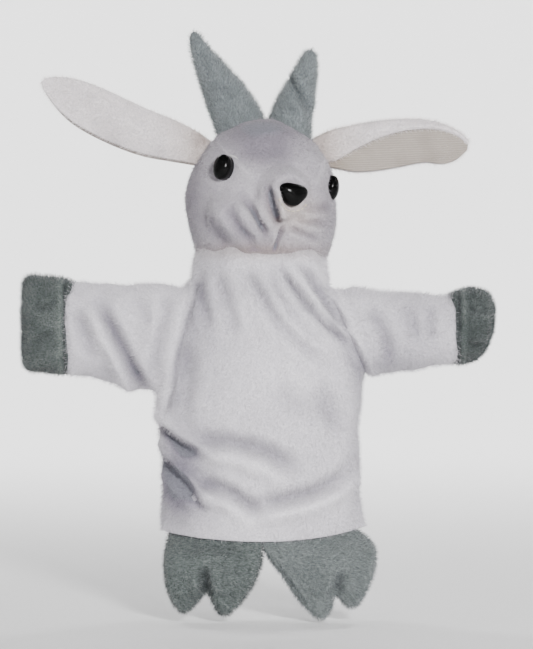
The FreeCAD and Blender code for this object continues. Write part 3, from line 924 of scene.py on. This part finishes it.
# %% Hooves
hoof_rings = {      # distance out, middle height, half height, half depth
    "right": ((90, 101.2, 21.0, 9.0), (94.3, 101.4, 23.0, 10.0), (99, 102, 23.3, 10.8),
              (105, 102.6, 22.8, 10.8),
              (110.5, 103, 23.2, 9.8), (113.8, 103.2, 22.4, 7.2), (115.4, 103.4, 19.0, 3.4)),
    "left": ((89.5, 100.8, 15.2, 12.0), (94.0, 101, 17.4, 13.4), (99, 102, 18.0, 13.8),
             (104, 103, 16.8, 13.2),
             (108.2, 105, 13.6, 11.2), (110.6, 106.2, 9.4, 7.8), (111.5, 106.8, 4.6, 3.6)),
}
hooves = {}
for side, rows in hoof_rings.items():
    sign = OUT[side]
    rings = [((sign * x, 0, z), (0, 0, h), (0, d, 0), 2.3) for x, z, h, d in rows]
    hoof = tube("hoof_" + side + "_plush", rings, 64)
    melt(hoof, 1.4, 3)
    inflate(hoof, 1.0, np.clip((97 - get_points(hoof)[:, 0] * sign) / 4, 0, 1))
    subdivide(hoof)
    hooves[side] = hoof
hoof_folds = {
    "right": (
        (((-96, 116), (-104, 110), (-110, 112)), 1.7, 1.1, 0.5, 0.0),
        (((-97, 98), (-105, 96), (-111, 92)), 1.8, 1.0, 0.5, 0.0),
    ),
    "left": (
        (((97, 112), (103, 108), (108, 110)), 1.6, 1.0, 0.5, 0.0),
        (((96, 95), (102, 92), (107, 94)), 1.6, 0.9, 0.5, 0.0),
    ),
}
# Painted shade for each hoof, more on the left one than on the right.
hoof_painted_shade = {"right": 0.05, "left": 0.16}
for side, hoof in hooves.items():
    folds(hoof, hoof_folds[side])
    crumple(hoof, 0.7, 9, 8)
    out = get_points(hoof)[:, 0] * OUT[side]
    add_shade(hoof, hoof_painted_shade[side] - 0.30 * bell(out - 96.5, 1.6))      # the paler cuff strip
    add_shade(hoof, 0.35 * bell(out - 94.6, 0.9))                         # the dark line of its seam
    smooth_shading(hoof)

# %% Feet
foot_outlines = {
    "right": ((-42.6, 4), (-45.6, -4), (-46.6, -16), (-44.2, -26), (-41.2, -32.5), (-38.0, -34.8),
              (-34.0, -32.6),
              (-29.6, -28.2), (-25.8, -25.2), (-22.9, -29.6), (-19.8, -34.2), (-16.8, -36.2), (-13.2, -33.4),
              (-8.2, -27.4), (-3.8, -20.4), (-1.0, -12.4), (0.0, -4), (0.6, 5)),
    "left": ((0.4, 5), (0.2, -3), (7.0, -13.0), (14.6, -24.2), (20.6, -32.8),
             (24.6, -36.8), (28.9, -37.5), (32.4, -33.0),
             (34.2, -27.4), (35.0, -24.6), (37.6, -28.4), (41.4, -31.8), (45.4, -31.8), (48.6, -26.6),
             (52.2, -18.2), (53.9, -9), (51.8, -2), (46.2, 4)),
}
FOOT_Y = -18.5


def pad_from_outline(name, outline, middle, thick):
    """A stuffed pad: an outline extruded, melted and relaxed."""
    smooth = curve_through(list(outline), 5)
    front = [(x, middle - thick, z) for x, z in smooth]
    back = [(x, middle + thick, z) for x, z in smooth]
    count = len(smooth)
    faces = [tuple(range(count)), tuple(reversed(range(count, 2 * count)))]
    faces += [(k, (k + 1) % count, count + (k + 1) % count, count + k) for k in range(count)]
    piece = outward(new_object(name, front + back, faces))
    melt(piece, 1.3, 10)
    return piece


def tuck_top(piece):
    """Thin the pad towards its seam and lead it inside the curve of the hem."""
    points = get_points(piece)
    thin = np.clip((2.0 - points[:, 2]) / 12, 0, 1)
    thin = 0.2 + 0.8 * np.sin(thin * math.pi / 2)
    high = ease(np.clip((points[:, 2] + 11) / 11, 0, 1))
    share = np.clip(np.abs((points[:, 0] - 0.3) / 49.5), 0, 0.93)
    hem_y = -20.6 * (1 - share ** 2.35) ** (1 / 2.35) + 3.6
    points[:, 1] = FOOT_Y + (points[:, 1] - FOOT_Y) * thin + (hem_y - FOOT_Y) * high
    points[:, 2] += high * hem_lift(points[:, 0])
    beside = np.maximum(np.abs(points[:, 0] - 1) - 43, 0)
    points[:, 2] = np.minimum(points[:, 2], 5.4 - 0.9 * beside)
    set_points(piece, points)


toe_folds = {
    "right": (
        (((-25.9, -27), (-26.6, -20), (-27.5, -11)), 2.6, 2.6, 0.6, 0.0),
        (((-40, -4), (-24, -3.5), (-8, -6)), 3.0, 0.8, 0.3, 0.0),
    ),
    "left": (
        (((35.2, -26), (36.2, -20), (38.5, -13)), 2.4, 2.0, 0.5, 0.0),
        (((4.4, -6), (13, -19), (23, -33)), 0.8, 1.0, 0.4, 0.0),
    ),
}
feet = {}
for side, outline in foot_outlines.items():
    foot = pad_from_outline("foot_" + side + "_plush", outline, FOOT_Y, 4.6)
    inflate(foot, 3.0, np.clip((get_points(foot)[:, 2] + 1) / 3, 0, 1))
    tuck_top(foot)
    subdivide(foot)
    folds(foot, toe_folds[side])
    crumple(foot, 0.6, 9, 6)
    smooth_shading(foot)
    feet[side] = foot
    print(foot.name, len(foot.data.polygons))

# %% [markdown]
# ## Pile
# Short pile stands off every plush piece, leans the way the cloth was combed and catches the
# light at the outline. One geometry nodes tree scatters thin three sided fibres over a piece,
# leans them, gives each its own tone, and turns them into plain mesh.

# %% Node helpers
def feed(tree, node, inputs):
    """Set a node's inputs from values, or join them to sockets or to other nodes' first outputs."""
    for key, value in inputs.items():
        if isinstance(value, bpy.types.Node):
            value = value.outputs[0]
        if isinstance(value, bpy.types.NodeSocket):
            tree.links.new(value, node.inputs[key])
        else:
            node.inputs[key].default_value = value
    return node


def add(tree, kind, inputs=None, **settings):
    """Add a node, set its properties and feed its inputs."""
    node = tree.nodes.new(kind)
    for name, value in settings.items():
        setattr(node, name, value)
    return feed(tree, node, inputs or {})


def new_tree(name, kind, takes, gives):
    """A node tree with named sockets, and the sockets of its input node."""
    tree = bpy.data.node_groups.new(name, kind)
    for way, sockets in (("INPUT", takes), ("OUTPUT", gives)):
        for label, socket in sockets.items():
            tree.interface.new_socket(label, in_out=way, socket_type="NodeSocket" + socket)
    return tree, add(tree, "NodeGroupInput").outputs


def close_tree(tree, given, instances, label):
    """End a geometry tree: plain mesh with its material."""
    real = add(tree, "GeometryNodeRealizeInstances", {0: instances})
    finish = add(tree, "GeometryNodeSetMaterial", {"Geometry": real, "Material": given["Material"]})
    add(tree, "NodeGroupOutput", {label: finish})
    tree.is_modifier = True
    return tree


# %% Pile tree
STRAY = 0.45              # how far a fibre may stray from its lean
SHORTEST, LONGEST = 0.5, 1.15


def make_pile_tree():
    """Fibres over a surface, with named inputs."""
    takes = {
        "Cloth": "Geometry", "Density": "Float", "Length": "Float", "Radius": "Float",
        "Lean": "Float", "Comb": "Vector", "Seed": "Int", "Material": "Material",
    }
    tree, given = new_tree("short_pile", "GeometryNodeTree", takes, {"Pile": "Geometry"})
    spread = {"Mesh": given["Cloth"], "Density": given["Density"], "Seed": given["Seed"]}
    scatter = add(tree, "GeometryNodeDistributePointsOnFaces", spread, distribute_method="RANDOM")
    cone = {"Vertices": 3, "Radius Top": 0, "Depth": 1, "Radius Bottom": given["Radius"]}
    fibre = add(tree, "GeometryNodeMeshCone", cone, fill_type="TRIANGLE_FAN")
    either_way = {"Min": (-STRAY,) * 3, "Max": (STRAY,) * 3}
    wander = add(tree, "FunctionNodeRandomValue", either_way, data_type="FLOAT_VECTOR")
    uneven = add(tree, "FunctionNodeRandomValue", {2: SHORTEST, 3: LONGEST}, data_type="FLOAT")
    combed = add(tree, "ShaderNodeVectorMath", {0: given["Comb"], "Scale": given["Lean"]}, operation="SCALE")
    leaned = add(tree, "ShaderNodeVectorMath", {0: scatter.outputs["Normal"], 1: combed}, operation="ADD")
    strayed = add(tree, "ShaderNodeVectorMath", {0: leaned, 1: wander}, operation="ADD")
    turned = add(tree, "FunctionNodeAlignRotationToVector", {"Vector": strayed}, axis="Z")
    length = add(tree, "ShaderNodeMath", {0: given["Length"], 1: uneven.outputs[1]}, operation="MULTIPLY")
    size = add(tree, "ShaderNodeCombineXYZ", {"X": 1, "Y": 1, "Z": length})
    stand = {"Points": scatter, "Instance": fibre, "Rotation": turned, "Scale": size}
    placed = add(tree, "GeometryNodeInstanceOnPoints", stand)
    tone = add(tree, "FunctionNodeRandomValue", {"Seed": given["Seed"]}, data_type="FLOAT")
    store = {"Geometry": placed, "Name": "tone", "Value": tone.outputs[1]}
    toned = add(tree, "GeometryNodeStoreNamedAttribute", store, data_type="FLOAT", domain="INSTANCE")
    return close_tree(tree, given, toned, "Pile")


pile_tree = make_pile_tree()


def grow_pile(cloth, name, material, per_mm2, comb, seed, length=2.4, radius=0.10):
    """A new mesh object: the pile of one piece of cloth."""
    piece = copy_of(cloth, name)
    values = {
        "Density": per_mm2 / MM ** 2, "Length": length * MM, "Radius": radius * MM, "Lean": 0.55,
        "Comb": comb, "Seed": seed, "Material": material,
    }
    modify(piece, "NODES", values, node_group=pile_tree)
    print(name, len(piece.data.polygons), "faces")
    return piece


# %% [markdown]
# ## Chin stitches
# The mouth end of the gusset is held by a row of hand stitches under the nose. A second
# tree sets one short length of thread at each point of a path.

# %% Stitch tree
def make_stitch_tree():
    """Short threads along a path of edges, with named inputs."""
    takes = {"Path": "Geometry", "Count": "Int", "Length": "Float", "Radius": "Float", "Material": "Material"}
    tree, given = new_tree("stitch_row", "GeometryNodeTree", takes, {"Stitches": "Geometry"})
    curve = add(tree, "GeometryNodeMeshToCurve", {"Mesh": given["Path"]})
    even = add(tree, "GeometryNodeResampleCurve", {"Curve": curve, "Count": given["Count"]})
    tangent = add(tree, "GeometryNodeInputTangent")
    turned = add(tree, "FunctionNodeAlignRotationToVector", {"Vector": tangent}, axis="Z")
    strand = add(tree, "GeometryNodeMeshUVSphere", {"Segments": 10, "Rings": 7})
    long_way = {"X": given["Radius"], "Y": given["Radius"], "Z": given["Length"]}
    size = add(tree, "ShaderNodeCombineXYZ", long_way)
    lie = {"Points": even, "Instance": strand, "Rotation": turned, "Scale": size}
    return close_tree(tree, given, add(tree, "GeometryNodeInstanceOnPoints", lie), "Stitches")


stitch_tree = make_stitch_tree()


def on_skin(skin, place, direction):
    """Where a line from outside the skin meets it."""
    flat = [tuple(p) for p in get_points(skin)]
    tree = BVHTree.FromPolygons(flat, [tuple(f.vertices) for f in skin.data.polygons])
    return [np.array(tree.ray_cast(Vector(p), Vector(direction))[0]) for p in place]


def stitch_row(name, path, count, length, radius, material):
    """A mesh object of stitches along a path in millimetres."""
    row = new_object(name, path, [], [(k, k + 1) for k in range(len(path) - 1)])
    values = {"Count": count, "Length": length * MM, "Radius": radius * MM, "Material": material}
    modify(row, "NODES", values, node_group=stitch_tree)
    smooth_shading(row)
    return row


inward = TURN @ np.array((0, 1.0, 0))
chin_arc = [
    face((1.2 + 8.2 * math.sin(a), -70, -4.4 - 6.6 * math.cos(a))) for a in np.linspace(-1.15, 1.15, 13)
]
chin_path = [p - inward * 0.8 for p in on_skin(head, chin_arc, inward)]

# %% [markdown]
# ## Materials
# The pile's colour comes from two noises: a fine one for single tufts and a broad one for the
# patches where the pile lies another way. Both are in one node group that gives out masks
# and a height. A second group dims a pile colour by the tone and painted shade that the folds
# and patches stored on the mesh, lightens it by the painted light stored there, and yellows it
# by the stored warmth. Each material has its own shader.

# %% Materials
def make_tuft_group():
    """Masks for pile: fine tufts, broad patches and a height for bump."""
    gives = {"Tufts": "Float", "Patches": "Float", "Height": "Float"}
    tree, given = new_tree("tuft_masks", "ShaderNodeTree", {"Stretch": "Vector"}, gives)
    place = add(tree, "ShaderNodeTexCoord").outputs["Object"]
    drawn = add(tree, "ShaderNodeVectorMath", {0: place, 1: given["Stretch"]}, operation="MULTIPLY")
    small = {"Vector": drawn, "Scale": 1100, "Detail": 2, "Roughness": 0.6, "Distortion": 0.6}
    large = {"Vector": place, "Scale": 75, "Detail": 3, "Distortion": 0.8}
    fine, broad = add(tree, "ShaderNodeTexNoise", small), add(tree, "ShaderNodeTexNoise", large)
    tufts = add(tree, "ShaderNodeMapRange", {"Value": fine, "From Min": 0.3, "From Max": 0.7})
    patches = add(tree, "ShaderNodeMapRange", {"Value": broad, "From Min": 0.35, "From Max": 0.65})
    add(tree, "NodeGroupOutput", {"Tufts": tufts, "Patches": patches, "Height": tufts})
    return tree


def attribute(tree, name):
    """The value stored on the mesh under a name."""
    return add(tree, "ShaderNodeAttribute", attribute_name=name).outputs["Fac"]


def make_shade_group():
    """Dim and cool a pile colour by the cloth's stored tone and painted shade, lighten it where that is
    painted light, and yellow it by its warmth.
    """
    tree, given = new_tree("pile_painted_shade", "ShaderNodeTree", {"Colour": "Color"}, {"Colour": "Color"})
    dimming = {0: attribute(tree, "tone_and_painted_shade"), 1: (-1.22, -1.24, -1.16), 2: (1.0, 1.0, 1.0)}
    dimmed = add(tree, "ShaderNodeVectorMath", dimming, operation="MULTIPLY_ADD")
    yellowing = {0: attribute(tree, "warm"), 1: (0.0, -0.07, -0.17), 2: dimmed}
    warmed = add(tree, "ShaderNodeVectorMath", yellowing, operation="MULTIPLY_ADD")
    floor = add(tree, "ShaderNodeVectorMath", {0: warmed, 1: (0.28, 0.29, 0.32)}, operation="MAXIMUM")
    tint = add(tree, "ShaderNodeVectorMath", {0: given[0], 1: floor}, operation="MULTIPLY")
    add(tree, "NodeGroupOutput", {0: tint})
    return tree


tuft_group = make_tuft_group()
shade_group = make_shade_group()


def base_material(name, rough, specular):
    """A material with nodes and its shader."""
    material = bpy.data.materials.new(name)
    material.use_nodes = True
    tree = material.node_tree
    shader = tree.nodes["Principled BSDF"]
    feed(tree, shader, {"Roughness": rough, "Specular IOR Level": specular})
    return material, tree, shader


def mixed(tree, share, low, high):
    """A colour between two others, which are colours or sockets."""
    ends = [c if isinstance(c, bpy.types.NodeSocket) else (*c, 1) for c in (low, high)]
    return add(tree, "ShaderNodeMix", {0: share, 6: ends[0], 7: ends[1]}, data_type="RGBA").outputs[2]


def shaded(tree, colour):
    """A pile colour after its stored tone, painted shade and warmth."""
    return feed(tree, add(tree, "ShaderNodeGroup", node_tree=shade_group), {"Colour": colour})


def relief(tree, height, strength, distance):
    """A bump of a strength, its distance in metres."""
    return add(tree, "ShaderNodeBump", {"Height": height, "Strength": strength, "Distance": distance})


def fibres(name, low, high):
    """Loose pile between two colours, one tone a fibre."""
    material, tree, shader = base_material(name, 0.85, 0.1)
    colour = mixed(tree, attribute(tree, "tone"), low, high)
    feed(tree, shader, {"Base Color": shaded(tree, colour)})
    return material


def plush(name, low, high, patch, stretch=(1, 1, 1), patch_share=0.35):
    """Pile cloth between two tuft colours, drifting to a patch colour."""
    material, tree, shader = base_material(name, 0.85, 0.2)
    masks = add(tree, "ShaderNodeGroup", node_tree=tuft_group)
    masks.inputs["Stretch"].default_value = stretch
    tufts = mixed(tree, masks.outputs["Tufts"], low, high)
    share = add(tree, "ShaderNodeMath", {0: masks.outputs["Patches"], 1: patch_share}, operation="MULTIPLY")
    colour = mixed(tree, share, tufts, patch)
    feed(tree, shader, {
        "Base Color": shaded(tree, colour),
        "Normal": relief(tree, masks.outputs["Height"], 0.5, 0.0005),
        "Sheen Weight": 0.25,
        "Sheen Roughness": 0.5,
    })
    return material


def grained(name, colour, rough=0.8, specular=0.3, grain=500, bump=0.15):
    """One colour with a fine grain in its tone and relief."""
    material, tree, shader = base_material(name, rough, specular)
    place = add(tree, "ShaderNodeTexCoord").outputs["Object"]
    speckle = add(tree, "ShaderNodeTexNoise", {"Vector": place, "Scale": grain})
    low, high = [0.82 * c for c in colour], [1.12 * c for c in colour]
    feed(tree, shader, {
        "Base Color": mixed(tree, speckle, low, high),
        "Normal": relief(tree, speckle, bump, 0.0002),
    })
    return material


def knitted(name, colour, dark, spacing):
    """Fine knit with ribs along the ear, spaced in millimetres."""
    material, tree, shader = base_material(name, 0.9, 0.5)
    turns = {0: attribute(tree, "across_mm"), 1: 2 * math.pi / spacing}
    wave = add(tree, "ShaderNodeMath", turns, operation="MULTIPLY")
    ribs = add(tree, "ShaderNodeMath", {0: wave}, operation="SINE")
    place = add(tree, "ShaderNodeTexCoord").outputs["Object"]
    grain = add(tree, "ShaderNodeTexNoise", {"Vector": place, "Scale": 900})
    height = add(tree, "ShaderNodeMath", {0: ribs, 1: 0.5, 2: grain}, operation="MULTIPLY_ADD")
    feed(tree, shader, {
        "Base Color": shaded(tree, mixed(tree, height, dark, colour)),
        "Normal": relief(tree, height, 0.3, 0.0003),
    })
    return material


white = plush("plush_white", (0.52, 0.50, 0.545), (0.76, 0.73, 0.77), (0.54, 0.515, 0.565))
grey_along = plush(
    "plush_grey_horns", (0.08, 0.094, 0.10), (0.24, 0.265, 0.275), (0.095, 0.115, 0.12), (1.6, 1, 0.7)
)
grey_across = plush(
    "plush_grey_feet", (0.05, 0.062, 0.06), (0.20, 0.225, 0.218), (0.065, 0.08, 0.077), (0.6, 1, 1.8)
)
# A lighter copy of the feet's plush for the left foot: painted light.
grey_painted_light = plush(
    "plush_grey_foot_left", (0.075, 0.09, 0.09), (0.25, 0.275, 0.27), (0.085, 0.10, 0.10), (0.6, 1, 1.8)
)
grey_dark = plush(
    "plush_grey_hooves", (0.04, 0.05, 0.048), (0.17, 0.19, 0.182), (0.035, 0.044, 0.042), (0.9, 1, 1.3), 0.7
)
knit = knitted("knit_cream", (0.31, 0.282, 0.262), (0.24, 0.217, 0.20), 1.1)
black = grained("eye_black", (0.002, 0.002, 0.002), 0.18, 0.1, grain=250, bump=0.02)
fuzz_white = fibres("pile_white", (0.56, 0.54, 0.58), (0.80, 0.77, 0.80))
fuzz_grey = fibres("pile_grey", (0.10, 0.116, 0.12), (0.29, 0.315, 0.32))
fuzz_dark = fibres("pile_grey_dark", (0.04, 0.049, 0.049), (0.175, 0.193, 0.192))
thread = grained("thread", (0.62, 0.55, 0.44), 0.7, grain=3000, bump=0.4)
lining_cloth = grained("lining_cloth", (0.66, 0.65, 0.64), 0.9, grain=1500, bump=0.4)
tape_cloth = grained("tape", (0.68, 0.67, 0.65), 0.9, grain=1200, bump=0.4)
washer_plastic = grained("washer_plastic", (0.58, 0.58, 0.56), 0.4, grain=300, bump=0.05)


def dress(piece, material):
    """Give a piece one material."""
    piece.data.materials.clear()
    piece.data.materials.append(material)


chin_stitches = stitch_row("chin_stitch_row", chin_path, 9, 0.95, 0.32, thread)

# %% Dress the pieces
for piece in (body, head, *sleeves.values(), ear_pieces["right_outer"], ear_pieces["left_outer"]):
    dress(piece, white)
for piece in horns.values():
    dress(piece, grey_along)
for piece in hooves.values():
    dress(piece, grey_dark)
dress(feet["right"], grey_across)
dress(feet["left"], grey_painted_light)
for piece in (ear_pieces["right_lining"], ear_pieces["left_lining"]):
    dress(piece, knit)
for piece in (nose, *eyes.values()):
    dress(piece, black)

for node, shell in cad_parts.items():
    if "washer" in node:
        dress(shell, washer_plastic)
    elif node == "finger_tube":
        dress(shell, lining_cloth)
    elif node == "neck_tape":
        dress(shell, tape_cloth)

# %% Grow the pile
piles = {}
down = (0, 0, -1.0)
piles["body"] = grow_pile(body, "pile_body", fuzz_white, 1.0, down, 3)
piles["head"] = grow_pile(head, "pile_head", fuzz_white, 1.0, down, 4, length=1.5)
# The left foot's pile is lighter than the right foot's: painted light.
foot_fuzz = {"left": fuzz_grey, "right": fuzz_dark}
for n, (side, sign) in enumerate(OUT.items()):
    away, up, toes = (float(sign), 0, 0), (0, 0, 1.0), (0.8, 0, -0.6)
    for kind, cloth, fuzz, per_mm2, comb, seed, size in (
        ("sleeve", sleeves[side], fuzz_white, 1.0, away, 5, {}),
        ("horn", horns[side], fuzz_grey, 2.2, up, 8, {}),
        ("hoof", hooves[side], fuzz_dark, 2.4, (0.2 * sign, 0, 1.0), 11, {}),
        ("foot", feet[side], foot_fuzz[side], 2.4, toes, 14, {}),
        ("ear", ear_pieces[side + "_outer"], fuzz_white, 2.2, away, 17, {"length": 2.2, "radius": 0.09}),
    ):
        name = kind + "_" + side
        piles[name] = grow_pile(cloth, "pile_" + name, fuzz, per_mm2, comb, seed + n, **size)

for cloth, wall in ((body, 1.8), (sleeves["left"], 1.6), (sleeves["right"], 1.6)):
    modify(cloth, "SOLIDIFY", thickness=wall * MM, offset=-1, use_even_offset=False)

# %% [markdown]
# ## Frame
# Every piece follows a body of the model. Cloth that crosses a joint bends with it.

# %% Ride and bend
def bend(piece, first, second, start, end):
    """Blend between two bodies, from and to points in millimetres."""
    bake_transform(piece, first, second, tuple(v * MM for v in start), tuple(v * MM for v in end))


for piece in (body, piles["body"]):
    bend(piece, "torso", "neck", (0, 0, 114), (0, 0, 129))
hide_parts("body_front", "body_back")
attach(head, "head")
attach(piles["head"], "head")
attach(nose, "head")
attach(chin_stitches, "head")
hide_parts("chin_stitches")
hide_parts("head_gusset", "head_side_left", "head_side_right", "head_stuffing")
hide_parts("nose")
horn_feet = {"left": ((13, 0, 196), (13.8, 0, 206)), "right": ((-10.5, 0, 197), (-14, 0, 208))}
ear_feet = {"left": ((33, 0, 186), (44, 0, 187)), "right": ((-33, 0, 187), (-45, 0, 191))}
for side, sign in OUT.items():
    out = np.array((seam_out[side][0], 0, seam_out[side][1]))
    top, foot = armholes[side]
    seam = np.array(((top[0] + foot[0]) / 2, 0, (top[1] + foot[1]) / 2))
    for piece in (sleeves[side], piles["sleeve_" + side]):
        bend(piece, "torso", "arm_" + side, seam + out, seam + out * 24)
    for piece in (hooves[side], piles["hoof_" + side]):
        bend(piece, "arm_" + side, "hoof_" + side, (sign * 94.5, 0, 100), (sign * 104, 0, 100))
    for piece in (horns[side], piles["horn_" + side]):
        bend(piece, "head", "horn_" + side, *horn_feet[side])
    for piece in (ear_pieces[side + "_outer"], ear_pieces[side + "_lining"], piles["ear_" + side]):
        bend(piece, "head", "ear_" + side, *ear_feet[side])
    for piece in (feet[side], piles["foot_" + side]):
        bend(piece, "torso", "foot_" + side, (0, 0, 1.5), (0, 0, -8))
    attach(eyes[side], "head")
    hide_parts("eye_" + side)
    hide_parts("horn_" + side + "_shell", "horn_" + side + "_stuffing")
    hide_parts("ear_" + side + "_outer")
    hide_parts("ear_" + side + "_lining")
    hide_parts("sleeve_" + side)
    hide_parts("hoof_" + side)
    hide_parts("foot_" + side + "_front", "foot_" + side + "_back", "foot_" + side + "_stuffing")

# %% [markdown]
# ## An empty step
# A loop over the two sides that does nothing.

for side in OUT:
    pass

# %% [markdown]
# ## Stage, light and camera
# The stage is a round floor that curves up into a wall, so every side has a backdrop. A small
# key lamp stands to the right of the camera, a weak one fills in from the left, and two lamps
# light the wall.

# %% Stage
def cove(name, radius, bend_radius, height, level, around):
    """A round floor that curves up into a wall all the way round."""
    profile = [(0.02, level), (radius - bend_radius, level)]
    profile += [
        (radius - bend_radius + bend_radius * math.sin(t), level + bend_radius - bend_radius * math.cos(t))
        for t in np.linspace(0.1, math.pi / 2, 14)
    ]
    profile.append((radius, height))
    points = []
    for k in range(around):
        turn = 2 * math.pi * k / around
        points += [(r * math.cos(turn) / MM, r * math.sin(turn) / MM, z / MM) for r, z in profile]
    count = len(profile)
    faces = [
        (a * count + k, a * count + k + 1, (a + 1) % around * count + k + 1, (a + 1) % around * count + k)
        for a in range(around) for k in range(count - 1)
    ]
    faces.append(tuple(a * count for a in range(around)))
    piece = new_object(name, points, faces)
    smooth_shading(piece)
    return piece


FLOOR = -0.0392
backdrop = cove("backdrop", radius=2.4, bend_radius=0.6, height=2.4, level=FLOOR, around=64)
dress(backdrop, grained("backdrop", (0.88, 0.88, 0.88), 0.9, 0.0, grain=2000, bump=0.0))
world = bpy.data.worlds.new("world")
bpy.context.scene.world = world
world.use_nodes = True
world.node_tree.nodes["Background"].inputs["Color"].default_value = (1, 1, 1, 1)
world.node_tree.nodes["Background"].inputs["Strength"].default_value = 0.03


def area_light(name, at, target, size, watts):
    """A soft square lamp that looks at a point."""
    data = bpy.data.lights.new(name, "AREA")
    data.size = size
    data.energy = watts
    light = link_object(name, data)
    light.location = at
    light.rotation_euler = (Vector(target) - Vector(at)).to_track_quat("-Z", "Y").to_euler()
    return light


area_light("key", (0.36, -1.2, 0.46), (0, 0, 0.09), 0.2, 25)
area_light("fill", (-0.55, -1.1, 0.05), (0, 0, 0.1), 0.4, 0.8)
area_light("wall_left", (-0.9, 1.1, 1.5), (-0.3, 2.4, 0.2), 0.6, 42)
area_light("wall_right", (0.9, 1.1, 1.5), (0.3, 2.4, 0.2), 0.6, 42)
camera_data = bpy.data.cameras.new("camera")
camera_data.sensor_fit = "VERTICAL"
camera_data.sensor_height = 24
camera_data.lens = 92
camera = link_object("camera", camera_data)
camera.location = (0.0022, -1.2, 0.1024)
camera.rotation_euler = (math.radians(90), 0, 0)
bpy.context.scene.camera = camera
